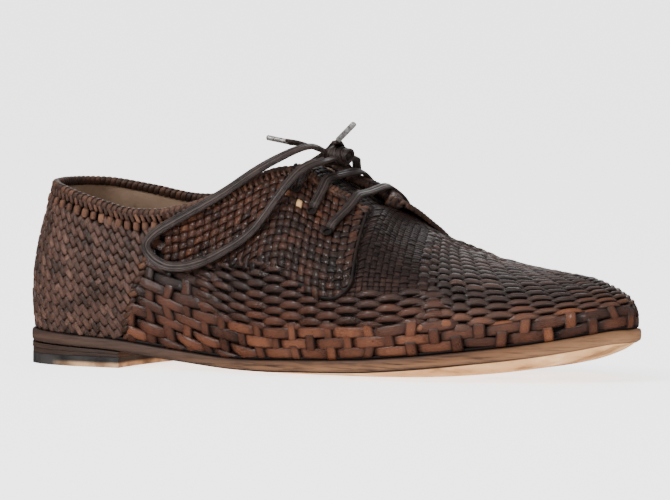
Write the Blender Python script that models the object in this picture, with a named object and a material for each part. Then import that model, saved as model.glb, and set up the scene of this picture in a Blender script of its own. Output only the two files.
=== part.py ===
"""A men's woven-leather derby shoe for the right foot, as an assembly of named pieces.

The shoe is worked out in its own frame: x runs from the back of the heel to the toe, y to the inner
side of the foot and z up from the floor. Every curved piece is read from one function, rib(), which
gives the outside of the upper between the sole's edge and the top line.
"""

import math

import bmesh
import bpy
import numpy as np
from mathutils import Matrix, Vector

MM = 0.001

# Driving sizes
SOLE_LENGTH = 296 * MM
WALL = 2.0 * MM
FIT_GAP = 0.3 * MM
OVERLAY_GAP = 0.5 * MM
OVERLAY_THICK = 1.3 * MM
INSOLE_THICK = 2.4 * MM
INSOLE_INSET = 7.2 * MM
TONGUE_THICK = 2.2 * MM
HEEL_LENGTH = 59 * MM
TOP_PIECE_THICK = 4.7 * MM
STRIP_RELIEF = 0.35 * MM
THROAT_STATION = 192 * MM
EYELET_RADIUS = 1.9 * MM
EYELET_DEPTH = 10 * MM
ROOT_NAME = "shoe"
SHARP_ANGLE = math.radians(50)
WELD = 1e-6

# The sole in millimetres. Lift is how far the edge turns up above the middle of the tread.
SOLE_COLUMNS = ("station", "centre", "half_width", "tread", "lift", "thick")
SOLE = np.array(
    (
        (0, 0.0, 0.0, 10.0, 0.0, 6.0),
        (10, 0.0, 22.5, 9.3, 0.0, 5.8),
        (30, 0.0, 31.8, 8.6, 0.0, 5.5),
        (60, -0.5, 33.5, 7.0, 0.0, 5.2),
        (90, -2.5, 32.5, 3.0, 0.8, 5.0),
        (120, -5.0, 34.0, 0.5, 1.0, 5.0),
        (150, -6.0, 39.5, 0.0, 1.7, 5.4),
        (185, -4.0, 47.5, 0.0, 2.8, 5.8),
        (212, 0.0, 51.0, 0.6, 4.2, 6.0),
        (240, 3.5, 47.5, 2.6, 5.2, 6.0),
        (264, 5.4, 38.8, 6.2, 4.6, 6.0),
        (282, 6.2, 27.0, 11.0, 3.0, 6.0),
        (292, 6.7, 14.2, 15.0, 1.2, 6.0),
        (296, 6.8, 0.0, 16.5, 0.0, 6.0),
    )
)
FLAT_TREAD_SHARE = 0.45

# The tread's lowest part stays this far above the heel's, which carries the shoe on the floor.
TREAD_CLEAR = 0.1 * MM

# The top line, throat and ridge in millimetres and degrees, by the station of the foot of each rib.
# Half and mid give the opening's half width and middle, lean tips the wall inwards at its top.
TOP_COLUMNS = ("station", "x", "outer_z", "inner_z", "half", "mid", "lean")
TOP = np.array(
    (
        (0, 11.8, 81.5, 81.5, 0.0, 0.0, 12),
        (5, 15.0, 81.0, 81.3, 14.0, 0.0, 12),
        (18, 24.0, 79.5, 80.5, 23.5, 0.0, 12),
        (42, 43.0, 74.5, 77.5, 28.0, 0.0, 9),
        (68, 66.0, 70.0, 74.0, 29.0, 0.5, 9),
        (95, 91.0, 73.0, 76.0, 27.0, 1.0, 16),
        (120, 114.0, 82.0, 83.0, 22.0, 2.0, 28),
        (138, 130.0, 89.0, 89.5, 17.5, 3.0, 38),
        (147, 137.5, 89.5, 90.0, 16.5, 3.3, 42),
        (165, 151.0, 82.5, 83.0, 16.0, 3.8, 50),
        (180, 163.0, 76.5, 76.8, 14.5, 4.2, 62),
        (188, 170.0, 73.8, 74.0, 9.0, 4.4, 78),
        (192, 173.5, 73.0, 73.0, 0.0, 4.5, 90),
        (215, 192.0, 64.0, 64.0, 0.0, 5.0, 90),
        (235, 209.0, 56.5, 56.5, 0.0, 5.5, 90),
        (255, 227.0, 50.5, 50.5, 0.0, 6.0, 90),
        (274, 244.0, 47.2, 47.2, 0.0, 6.2, 90),
        (288, 255.0, 45.9, 45.9, 0.0, 6.5, 90),
        (296, 260.5, 45.4, 45.4, 0.0, 6.7, 90),
    )
)

# The ledge of sole outside the upper, and how far each rib leans out as it leaves the sole.
FOOT_COLUMNS = ("station", "ledge", "flare")
FOOT = np.array(
    (
        (0, 2.6, 7),
        (60, 2.0, 13),
        (120, 2.2, 18),
        (200, 3.0, 20),
        (270, 2.7, 14),
        (296, 1.8, 6),
    )
)
FOOT_HANDLE = 0.42
TOP_HANDLE = 0.38

# Columns of the upper's grid from the heel to the throat, and from there to the toe.
HEEL_COLUMNS = 30
TOE_COLUMNS = 20
UPPER_ROWS = 14
INSIDE_LINE = (40 * MM, 250 * MM)
INSIDE_HEIGHT = 30 * MM

# The quarter that lies over the vamp: its lower edge as a share of each rib.
QUARTER_COLUMNS = ("station", "low")
QUARTER = np.array(((84, 0.53), (112, 0.52), (145, 0.43), (166, 0.33), (188, 0.30)))
QUARTER_CORNER = 13 * MM
QUARTER_CORNER_RISE = 0.13
COLLAR_BAND_SHARE = 0.11
BAND_END_GAP = 1.2 * MM

# The upper is plain under the quarters, and this far round them.
BARE_MARGIN = 8 * MM
BARE_MARGIN_RISE = 0.08

# It is plain too where the ribs meet on top of the toe: above this rise, and this near the toe.
PLAIN_TOE_RISE = 0.7
PLAIN_TOE_SHARE = 0.13

# The tongue from its top to its end under the vamp.
TONGUE_STATIONS = (134 * MM, 206 * MM)
TONGUE_HALF = (27 * MM, 20 * MM)
TONGUE_CLEAR = 1.0 * MM

# How far the tongue and the lace bars rise over the open throat.
BRIDGE_CROWN = 0.35

# Lacing holes by the rib they lie on, and the lace that runs through them.
# Crown is the station at which the bar between a pair of holes crosses the middle of the throat.
EYELET_COLUMNS = ("station", "rise", "crown")
EYELETS = np.array(((150, 0.88, 154.5), (161, 0.80, 167), (172, 0.71, 184)))
LACE_WIDTH = 4.4 * MM
LACE_THICK = 1.6 * MM
LACE_LIFT = 2.3 * MM
CORD_RADIUS = 1.5 * MM
CORD_STEP = 6 * MM
TIP_RADIUS = 1.3 * MM
KNOT_MIDDLE = (151.0 * MM, 1.5 * MM, 94.9 * MM)
KNOT_HALF = (7 * MM, 5.6 * MM, 3.6 * MM)

# A loop of the bow from the knot down its side and back, stand being its distance off the upper.
LOOP_COLUMNS = ("station", "rise", "stand")
LOOP = np.array(
    (
        (138, 1.00, 7.2),
        (126, 1.00, 4.8),
        (117, 0.98, 4.0),
        (98, 0.935, 3.8),
        (78, 0.815, 3.8),
        (73.5, 0.745, 3.9),
        (77, 0.66, 3.8),
        (85, 0.58, 3.8),
        (100, 0.56, 3.8),
        (118, 0.60, 3.8),
        (132.5, 0.65, 3.8),
        (140, 0.745, 4.8),
        (147.5, 0.86, 7.4),
        (153, 0.97, 8.2),
    )
)
# Where a loop leaves the knot and comes back to it, y being the distance from the knot's middle.
LOOP_START = ((147.7, 4.74, 96.54), (146.2, 8.2, 99.2))
LOOP_END = ((152.5, 9.4, 93.6), (152.1, 5.83, 94.36))

# The two ends of the lace and their metal tips, as points of their middle lines in millimetres.
BACK_END = ((143.9, 1.5, 95.9), (140.2, 1.7, 97.6), (133.0, 3.4, 99.6), (123.5, 5.0, 100.2))
BACK_TIP = ((122.9, 5.1, 100.3), (112.5, 6.2, 101.8))
FRONT_END = ((151.9, -0.4, 99.6), (152.5, -1.6, 100.9), (153.6, -3.2, 102.4))
FRONT_TIP = ((154.7, -3.6, 103.3), (162.8, -5.4, 109.8))

LATERAL, MEDIAL = -1.0, 1.0


def column(table, names, name):
    return table[:, names.index(name)]


def round_measure(station):
    """Share of the way round from heel to toe that makes both round ends smooth."""
    return np.arccos(np.clip(1 - 2 * np.asarray(station, float) / SOLE_LENGTH, -1, 1)) / np.pi


def through(knots, values, at):
    """A curve through values at knots, each slope taken from its neighbours."""
    slopes = np.gradient(values, knots)
    i = np.clip(np.searchsorted(knots, at, side="right") - 1, 0, len(knots) - 2)
    span = knots[i + 1] - knots[i]
    f = (at - knots[i]) / span
    start = (1 + 2 * f) * (1 - f) ** 2 * values[i] + f * (1 - f) ** 2 * span * slopes[i]
    end = f**2 * (3 - 2 * f) * values[i + 1] - f**2 * (1 - f) * span * slopes[i + 1]
    return start + end


def smooth(table, names, name, station):
    """A table's column at any station, on a curve through its rows."""
    knots = round_measure(column(table, names, "station") * MM)
    return through(knots, column(table, names, name), round_measure(np.asarray(station, float)))


def sole_size(name, station):
    return smooth(SOLE, SOLE_COLUMNS, name, station) * MM


def tread_height(station, share=0.0):
    """Underside of the sole, flat along the middle and turned up towards its edge."""
    turned = np.clip((np.abs(share) - FLAT_TREAD_SHARE) / (1 - FLAT_TREAD_SHARE), 0, 1)
    low = np.maximum(sole_size("tread", station), TREAD_CLEAR)
    return low + np.maximum(sole_size("lift", station), 0) * turned**2


def seat_height(station):
    """Top of the sole, which the upper stands on."""
    return tread_height(station, 1.0) + sole_size("thick", station)


def outline(station, side, inset=0.0):
    """A point of the sole's edge, or of a line inside it, in plan."""
    station = np.asarray(station, float)
    step = 0.002
    around = round_measure(station)

    def edge(share):
        x = SOLE_LENGTH * (1 - np.cos(np.pi * share)) / 2
        half = np.where((share < 0) | (share > 1), -1, 1) * np.maximum(sole_size("half_width", x), 0)
        return np.stack((x, sole_size("centre", x) + side * half), axis=-1)

    along = edge(around + step) - edge(around - step)
    along /= np.linalg.norm(along, axis=-1, keepdims=True)
    outward = side * np.stack((-along[..., 1], along[..., 0]), axis=-1)
    return edge(around) - np.asarray(inset)[..., None] * outward, outward


def top_edge(station, side):
    """The top of a rib, and the way that the rib runs into it."""
    size = {name: smooth(TOP, TOP_COLUMNS, name, station) for name in TOP_COLUMNS[1:]}
    closed = np.asarray(station) >= THROAT_STATION - 1e-9
    half = np.where(closed, 0, np.maximum(size["half"], 0))
    lean = np.radians(np.where(closed, 90, np.clip(size["lean"], 0, 90)))
    high = size["outer_z"] if side == LATERAL else size["inner_z"]
    high = np.where(closed, (size["outer_z"] + size["inner_z"]) / 2, high)
    top = np.stack((size["x"], size["mid"] + side * half, high), axis=-1) * MM
    return top, lean


def rib(station, side, rise):
    """Outside of the upper: rise 0 is on the sole and rise 1 on the top line, throat or ridge."""
    station, rise = np.broadcast_arrays(np.asarray(station, float), np.asarray(rise, float))
    ledge = smooth(FOOT, FOOT_COLUMNS, "ledge", station) * MM
    flare = np.radians(smooth(FOOT, FOOT_COLUMNS, "flare", station))
    plan, outward = outline(station, side, ledge)
    foot = np.concatenate((plan, (seat_height(station) + FIT_GAP)[..., None]), axis=-1)
    top, lean = top_edge(station, side)
    chord = np.linalg.norm(top - foot, axis=-1)[..., None]
    leave = np.concatenate((outward * np.sin(flare)[..., None], np.cos(flare)[..., None]), axis=-1)
    near, _ = top_edge(np.minimum(station + 0.5 * MM, SOLE_LENGTH), side)
    before, _ = top_edge(np.maximum(station - 0.5 * MM, 0), side)
    slope = (near - before)[..., 2] / np.maximum((near - before)[..., 0], 1e-6)
    inward = (top - foot)[..., :2]
    inward = inward / np.maximum(np.linalg.norm(inward, axis=-1, keepdims=True), 1e-6)
    fall = inward[..., 0] * slope * np.sin(lean) ** 4
    arrive = np.concatenate(
        (inward * np.sin(lean)[..., None], (np.cos(lean) + fall * np.sin(lean))[..., None]), axis=-1
    )
    first = foot + leave * chord * FOOT_HANDLE
    last = top - arrive * chord * TOP_HANDLE
    f = rise[..., None]
    return (
        (1 - f) ** 3 * foot
        + 3 * f * (1 - f) ** 2 * first
        + 3 * f**2 * (1 - f) * last
        + f**3 * top
    )


def off_side(station, side, rise, stand):
    """A point a distance off the outside of the upper, and the way out there."""
    step = 0.5 * MM
    along = rib(station + step, side, rise) - rib(station - step, side, rise)
    up = rib(station, side, rise) - rib(station, side, rise - 0.01)
    out = np.cross(up, along) * side
    out = out / np.linalg.norm(out)
    return rib(station, side, rise) + out * stand, out


def even_stations(start, end, count):
    """Stations an equal distance apart along the sole's edge."""
    fine = SOLE_LENGTH * (1 - np.cos(np.pi * np.linspace(0, 1, 600))) / 2
    fine = fine[(fine > start) & (fine < end)]
    fine = np.concatenate(([start], fine, [end]))
    run = sum(
        np.concatenate(([0], np.cumsum(np.linalg.norm(np.diff(outline(fine, s)[0], axis=0), axis=1))))
        for s in (LATERAL, MEDIAL)
    )
    return np.interp(np.linspace(0, run[-1], count + 1), run, fine)


def add_object(name, data, material=None):
    """Links a mesh or curve under the shoe's empty."""
    if material:
        data.materials.append(material)
    made = bpy.data.objects.new(name, data)
    bpy.context.scene.collection.objects.link(made)
    made.parent = bpy.data.objects[ROOT_NAME]
    return made


def mesh_from(name, bm):
    mesh = bpy.data.meshes.new(name)
    bm.to_mesh(mesh)
    bm.free()
    mesh.shade_smooth()
    mesh.set_sharp_from_angle(angle=SHARP_ANGLE)
    return mesh


def closed_object(name, bm, material):
    bmesh.ops.recalc_face_normals(bm, faces=bm.faces)
    return add_object(name, mesh_from(name, bm), material)


def mapped_grid(columns, rows, place):
    """A grid whose points go where place() puts their shares across and up."""
    bm = bmesh.new()
    bmesh.ops.create_grid(bm, x_segments=columns, y_segments=rows, size=0.5)
    share = np.array([(v.co.x + 0.5, v.co.y + 0.5) for v in bm.verts])
    for v, point in zip(bm.verts, place(share[:, 0], share[:, 1])):
        v.co = Vector(point)
    bmesh.ops.remove_doubles(bm, verts=bm.verts, dist=WELD)
    return bm


def face_outwards(bm):
    """Turns an open sheet so that its faces look away from a line along the inside of the shoe."""
    bm.normal_update()
    looks = 0
    for face in bm.faces:
        middle = face.calc_center_median()
        inside = Vector((min(max(middle.x, INSIDE_LINE[0]), INSIDE_LINE[1]), 0, INSIDE_HEIGHT))
        looks += face.normal.dot((middle - inside).normalized()) * face.calc_area()
    if looks < 0:
        bmesh.ops.reverse_faces(bm, faces=bm.faces)
    bm.normal_update()


def shell(name, bm, material, lift, thick, outwards):
    """A sheet moved along its normals by lift and given a wall."""
    face_outwards(bm)
    for v, move in [(v, v.normal.copy()) for v in bm.verts]:
        v.co += move * lift
    made = add_object(name, mesh_from(name, bm), material)
    wall = made.modifiers.new("wall", "SOLIDIFY")
    wall.thickness = thick
    wall.offset = 1 if outwards else -1
    wall.use_even_offset = True
    wall.use_quality_normals = True
    return made


def plate(name, stations, inset, under, over, shares, material):
    """A layer of the sole, from its under and over heights at each station and share across."""
    bm = bmesh.new()
    columns, rows = len(stations) - 1, len(shares) - 1
    bmesh.ops.create_grid(bm, x_segments=columns, y_segments=rows, size=0.5)
    low = bm.verts[:]
    where = [(stations[round((v.co.x + 0.5) * columns)], shares[round((v.co.y + 0.5) * rows)]) for v in low]
    for v, (station, share) in zip(low, where):
        edges = [outline(np.array(station), side, np.array(inset))[0] for side in (LATERAL, MEDIAL)]
        plan = edges[0] * (1 - share) / 2 + edges[1] * (1 + share) / 2
        if station == stations[-1] < SOLE_LENGTH:
            plan[0] = station
        v.co = (*plan, under(station, share))
    raised = bmesh.ops.extrude_face_region(bm, geom=bm.faces[:])["geom"]
    raised = [g for g in raised if isinstance(g, bmesh.types.BMVert)]
    at = {v.co.to_tuple(7): over(*place) for v, place in zip(low, where)}
    for v in raised:
        v.co.z = at[v.co.to_tuple(7)]
    bmesh.ops.remove_doubles(bm, verts=bm.verts, dist=WELD)
    bmesh.ops.dissolve_degenerate(bm, edges=bm.edges, dist=WELD)
    return closed_object(name, bm, material)


def leather(name, colour, roughness, metallic=0.0):
    material = bpy.data.materials.new(name)
    material.use_nodes = True
    shader = material.node_tree.nodes["Principled BSDF"]
    shader.inputs["Base Color"].default_value = (*colour, 1)
    shader.inputs["Roughness"].default_value = roughness
    shader.inputs["Metallic"].default_value = metallic
    return material


def strip_height(around, rise, columns):
    """Raised and sunk crossings of the strips, none at the wall's edges and where the toe's ribs meet."""
    i = np.rint(around * columns)
    j = np.rint(rise * UPPER_ROWS)
    toe_top = (rise > PLAIN_TOE_RISE) & (np.abs(around - 0.5) < PLAIN_TOE_SHARE)
    inside = (j > 0) & (j < UPPER_ROWS) & ~toe_top
    return STRIP_RELIEF * np.where((i + j) % 2 == 0, 1, -1) * inside


def upper_columns():
    heel = even_stations(0, THROAT_STATION, HEEL_COLUMNS)
    toe = even_stations(THROAT_STATION, SOLE_LENGTH, TOE_COLUMNS)
    return np.concatenate((heel, toe[1:]))


def quarter_low(station):
    """Lower edge of the quarter, as a share of each rib."""
    rows = column(QUARTER, QUARTER_COLUMNS, "station") * MM
    return np.interp(station, rows, column(QUARTER, QUARTER_COLUMNS, "low"))


def round_the_shoe(stations, around):
    """Station and side at each share of the way round, from the heel by the outer side."""
    lateral = around <= 0.5
    share = np.where(lateral, 2 * around, 2 - 2 * around)
    return np.interp(share, np.linspace(0, 1, len(stations)), stations), lateral


def both_sides(station, lateral, rise):
    return np.where(lateral[:, None], rib(station, LATERAL, rise), rib(station, MEDIAL, rise))


def make_upper(material):
    """Vamp, quarters and counter as one woven wall, open at the collar, throat and sole."""
    stations = upper_columns()
    columns = 2 * len(stations) - 2
    bm = bmesh.new()
    bmesh.ops.create_grid(bm, x_segments=columns, y_segments=UPPER_ROWS, size=0.5)
    around, rise = np.array([(v.co.x + 0.5, v.co.y + 0.5) for v in bm.verts]).T
    station, lateral = round_the_shoe(stations, around)
    first, last = (column(QUARTER, QUARTER_COLUMNS, "station")[i] * MM for i in (0, -1))
    under_quarter = (station > first - BARE_MARGIN) & (station < last + BARE_MARGIN)
    under_quarter &= rise > quarter_low(station) - BARE_MARGIN_RISE
    under_band = (station < THROAT_STATION) & (rise > 1 - 2 * COLLAR_BAND_SHARE)
    height = strip_height(around, rise, columns)
    height[under_quarter | under_band] = 0
    for v, point in zip(bm.verts, both_sides(station, lateral, rise)):
        v.co = point
    raised = dict(zip(bm.verts, height))
    doubles = bmesh.ops.find_doubles(bm, verts=bm.verts, dist=WELD)["targetmap"]
    raised = {v: h for v, h in raised.items() if v not in doubles}
    bmesh.ops.weld_verts(bm, targetmap=doubles)
    face_outwards(bm)
    for v, move in [(v, v.normal * h) for v, h in raised.items()]:
        v.co += move
    return shell("upper", bm, material, 0.0, WALL, False)


def quarter_place(side):
    """Where the quarter lies on the upper, with both corners at its front rounded."""
    first, last = (column(QUARTER, QUARTER_COLUMNS, "station")[i] * MM for i in (0, -1))

    def place(along, up):
        station = first + (last - first) * (1 - (1 - along) ** 1.5)
        corner = np.clip((station - last + QUARTER_CORNER) / QUARTER_CORNER, 0, 1)
        rounded = QUARTER_CORNER_RISE * (1 - np.sqrt(1 - 0.97 * corner**2))
        low = quarter_low(station) + rounded
        return rib(station, side, low + (1 - rounded - low) * up)

    return place


def make_quarter(name, side, material):
    bm = mapped_grid(16, 8, quarter_place(side))
    return shell(name, bm, material, OVERLAY_GAP, OVERLAY_THICK, True)


def make_collar_band(material):
    """The braided band round the collar, from one quarter to the other."""
    last = column(QUARTER, QUARTER_COLUMNS, "station")[0] * MM - BAND_END_GAP
    stations = even_stations(0, last, 15)

    def place(around, up):
        lateral = around <= 0.5
        share = np.abs(1 - 2 * around)
        station = np.interp(share, np.linspace(0, 1, len(stations)), stations)
        return both_sides(station, lateral, 1 - COLLAR_BAND_SHARE * (1 - up))

    bm = mapped_grid(2 * len(stations) - 2, 2, place)
    return shell("collar_band", bm, material, OVERLAY_GAP, OVERLAY_THICK, True)


def arch_line(station, away):
    """Points across the instep at a station, by their distance from its middle, over the open throat."""
    rise = np.linspace(0.3, 1, 60)
    sides = [rib(np.full(60, station), s, rise) for s in (LATERAL, MEDIAL)]
    start, end = sides[0][-1], sides[1][-1]
    span = np.linalg.norm(end - start)
    bridge = np.empty((0, 3))
    if span > 1e-6:
        leave = sides[0][-1] - sides[0][-2]
        arrive = sides[1][-2] - sides[1][-1]
        leave, arrive = (d / np.linalg.norm(d) * span * BRIDGE_CROWN for d in (leave, arrive))
        f = np.linspace(0, 1, 24)[1:-1, None]
        bridge = (
            (1 + 2 * f) * (1 - f) ** 2 * start
            + f * (1 - f) ** 2 * leave
            + f**2 * (3 - 2 * f) * end
            - f**2 * (1 - f) * arrive
        )
    line = np.concatenate((sides[0], bridge, sides[1][::-1][0 if span > 1e-6 else 1 :]))
    run = np.concatenate(([0], np.cumsum(np.linalg.norm(np.diff(line, axis=0), axis=1))))
    middle = (run[59] + run[len(line) - 60]) / 2
    return np.stack([np.interp(middle + away, run, line[:, k]) for k in range(3)], axis=1)


def make_tongue(material):
    """The tongue under the throat, held a little below the quarters and the vamp."""
    columns, rows = 12, 12
    lines = []
    for share in np.linspace(0, 1, rows + 1):
        station, half = (a + (b - a) * share for a, b in (TONGUE_STATIONS, TONGUE_HALF))
        lines.append(arch_line(station, np.linspace(-half, half, columns + 1)))

    def place(across, along):
        return [lines[round(b * rows)][round(a * columns)] for a, b in zip(across, along)]

    bm = mapped_grid(columns, rows, place)
    return shell("tongue", bm, material, -(WALL + TONGUE_CLEAR), TONGUE_THICK, False)


def make_sole(materials):
    full = even_stations(0, SOLE_LENGTH, 34)
    shares = (-1.0, -0.72, -FLAT_TREAD_SHARE, FLAT_TREAD_SHARE, 0.72, 1.0)
    plate(
        "outsole",
        full,
        0.0,
        tread_height,
        lambda station, share: seat_height(station),
        shares,
        materials["sole"],
    )
    heel = even_stations(0, HEEL_LENGTH, 11)
    heel_shares = (-1.0, 0.0, 1.0)
    plate(
        "heel_lift",
        heel,
        FIT_GAP,
        lambda station, share: TOP_PIECE_THICK + FIT_GAP,
        lambda station, share: tread_height(station) - FIT_GAP,
        heel_shares,
        materials["sole"],
    )
    plate(
        "top_piece",
        heel,
        0.0,
        lambda station, share: 0.0,
        lambda station, share: TOP_PIECE_THICK,
        heel_shares,
        materials["top_piece"],
    )
    plate(
        "insole",
        even_stations(0, SOLE_LENGTH, 26),
        INSOLE_INSET,
        lambda station, share: seat_height(station) + FIT_GAP,
        lambda station, share: seat_height(station) + FIT_GAP + INSOLE_THICK,
        (-1.0, 0.0, 1.0),
        materials["insole"],
    )


def make_lace_bar(name, row, material):
    """A bar of lace that lies over both quarters and the throat between one pair of holes."""
    station, rise, crown = EYELETS[row] * (MM, 1, MM)
    count = 16
    share = np.linspace(-1, 1, count + 1)
    reach = []
    for side in (LATERAL, MEDIAL):
        line = rib(np.full(40, station), side, np.linspace(rise, 1, 40))
        gap = np.linalg.norm(rib(station, LATERAL, 1.0) - rib(station, MEDIAL, 1.0))
        reach.append(np.sum(np.linalg.norm(np.diff(line, axis=0), axis=1)) + gap / 2)
    away = np.where(share < 0, reach[0], reach[1]) * share
    along = station + (crown - station) * (1 - share**2)
    edges = [
        [arch_line(s + LACE_WIDTH * k, np.array([d]))[0] for s, d in zip(along, away)]
        for k in (-0.5, 0, 0.5)
    ]

    def place(along, across):
        return [edges[round(b * 2)][round(a * count)] for a, b in zip(along, across)]

    return shell(name, mapped_grid(count, 2, place), material, LACE_LIFT, LACE_THICK, True)


def even_path(points, step):
    """Points a step apart on a curve through the given ones."""
    points = np.asarray(points, float)
    run = np.concatenate(([0], np.cumsum(np.linalg.norm(np.diff(points, axis=0), axis=1))))
    at = np.linspace(0, run[-1], max(2, round(run[-1] / step) + 1))
    return np.stack([through(run, points[:, k], at) for k in range(3)], axis=1)


def cord(name, points, radius, material):
    """A round cord along points."""
    curve = bpy.data.curves.new(name, "CURVE")
    curve.dimensions = "3D"
    curve.bevel_depth = radius
    curve.bevel_resolution = 2
    curve.use_fill_caps = True
    line = curve.splines.new("POLY")
    line.points.add(len(points) - 1)
    for p, point in zip(line.points, points):
        p.co = (*point, 1)
    return add_object(name, curve, material)


def loop_points(side):
    rows = [off_side(station * MM, side, rise, stand * MM)[0] for station, rise, stand in LOOP]
    middle = np.array((0, KNOT_MIDDLE[1], 0))
    start, end = (np.array(points) * (MM, side * MM, MM) + middle for points in (LOOP_START, LOOP_END))
    return [*start, *rows, *end]


def make_lace(lace, metal):
    for row, name in enumerate(("lace_bar_top", "lace_bar_middle", "lace_bar_low")):
        make_lace_bar(name, row, lace)
    bm = bmesh.new()
    bmesh.ops.create_icosphere(bm, subdivisions=3, radius=1.0)
    bmesh.ops.scale(bm, vec=KNOT_HALF, verts=bm.verts)
    bmesh.ops.translate(bm, vec=KNOT_MIDDLE, verts=bm.verts)
    closed_object("lace_knot", bm, lace)
    cord("lace_loop_lateral", even_path(loop_points(LATERAL), CORD_STEP), CORD_RADIUS, lace)
    cord("lace_loop_medial", even_path(loop_points(MEDIAL), CORD_STEP), CORD_RADIUS, lace)
    for name, points in (("lace_end_back", BACK_END), ("lace_end_front", FRONT_END)):
        cord(name, even_path(np.array(points) * MM, CORD_STEP), CORD_RADIUS, lace)
    for name, points in (("lace_tip_back", BACK_TIP), ("lace_tip_front", FRONT_TIP)):
        cord(name, np.array(points) * MM, TIP_RADIUS, metal)


def pierce(objects):
    """Cuts the lacing holes through the given pieces."""
    bm = bmesh.new()
    for side in (LATERAL, MEDIAL):
        for station, rise, _ in EYELETS:
            middle, out = off_side(station * MM, side, rise, 0.0)
            turn = Vector(out).to_track_quat("Z", "Y").to_matrix().to_4x4()
            bmesh.ops.create_cone(
                bm,
                cap_ends=True,
                segments=12,
                radius1=EYELET_RADIUS,
                radius2=EYELET_RADIUS,
                depth=EYELET_DEPTH,
                matrix=Matrix.Translation(middle) @ turn,
            )
    cutter = add_object("eyelet_cutter", mesh_from("eyelet_cutter", bm))
    cutter.hide_render = True
    cutter.display_type = "WIRE"
    for obj in objects:
        cut = obj.modifiers.new("eyelets", "BOOLEAN")
        cut.operation = "DIFFERENCE"
        cut.solver = "EXACT"
        cut.object = cutter


def centre_on_origin():
    """Moves the shoe so that the middle of its box, without the laces, stands on the origin."""
    bpy.context.view_layer.update()
    graph = bpy.context.evaluated_depsgraph_get()
    corners = []
    for obj in bpy.context.scene.objects:
        if obj.type == "MESH" and not obj.hide_render and not obj.name.startswith("lace"):
            shape = obj.evaluated_get(graph).to_mesh()
            points = np.empty(len(shape.vertices) * 3)
            shape.vertices.foreach_get("co", points)
            corners.append(points.reshape(-1, 3))
    corners = np.concatenate(corners)
    low, high = corners.min(axis=0), corners.max(axis=0)
    middle = (low + high) / 2
    bpy.data.objects[ROOT_NAME].location = (-middle[0], -middle[1], -low[2])


def main():
    for obj in list(bpy.data.objects):
        bpy.data.objects.remove(obj)
    root = bpy.data.objects.new(ROOT_NAME, None)
    bpy.context.scene.collection.objects.link(root)
    materials = {
        "upper": leather("woven_leather", (0.085, 0.040, 0.026), 0.45),
        "quarter": leather("quarter_leather", (0.070, 0.030, 0.020), 0.35),
        "collar": leather("collar_leather", (0.150, 0.070, 0.038), 0.50),
        "sole": leather("sole_leather", (0.200, 0.115, 0.068), 0.50),
        "top_piece": leather("top_piece_rubber", (0.030, 0.024, 0.022), 0.55),
        "insole": leather("insole_leather", (0.300, 0.200, 0.120), 0.60),
        "lace": leather("waxed_lace", (0.040, 0.027, 0.022), 0.50),
        "tip": leather("lace_tip_metal", (0.600, 0.590, 0.580), 0.30, 1.0),
    }
    make_sole(materials)
    upper = make_upper(materials["upper"])
    lateral = make_quarter("quarter_lateral", LATERAL, materials["quarter"])
    medial = make_quarter("quarter_medial", MEDIAL, materials["quarter"])
    pierce((upper, lateral, medial))
    make_collar_band(materials["collar"])
    make_lace(materials["lace"], materials["tip"])
    make_tongue(materials["upper"])
    centre_on_origin()


main()
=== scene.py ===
import math

import bmesh
import bpy
import numpy as np
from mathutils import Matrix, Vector


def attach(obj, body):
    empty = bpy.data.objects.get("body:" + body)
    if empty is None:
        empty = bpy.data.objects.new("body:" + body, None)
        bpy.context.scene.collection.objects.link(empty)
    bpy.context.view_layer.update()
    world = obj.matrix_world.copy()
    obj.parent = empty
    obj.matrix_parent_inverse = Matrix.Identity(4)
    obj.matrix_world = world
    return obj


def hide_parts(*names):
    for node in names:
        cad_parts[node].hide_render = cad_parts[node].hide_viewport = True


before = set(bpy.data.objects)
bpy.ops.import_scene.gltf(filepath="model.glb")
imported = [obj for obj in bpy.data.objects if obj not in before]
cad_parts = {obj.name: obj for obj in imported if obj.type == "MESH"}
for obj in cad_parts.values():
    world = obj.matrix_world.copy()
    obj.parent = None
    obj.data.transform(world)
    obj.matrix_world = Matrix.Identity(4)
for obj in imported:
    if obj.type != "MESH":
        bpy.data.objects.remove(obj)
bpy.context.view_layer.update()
mm = 0.001
chance = np.random.default_rng(11)
print("frame loaded:", len(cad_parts), "solids")


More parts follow.
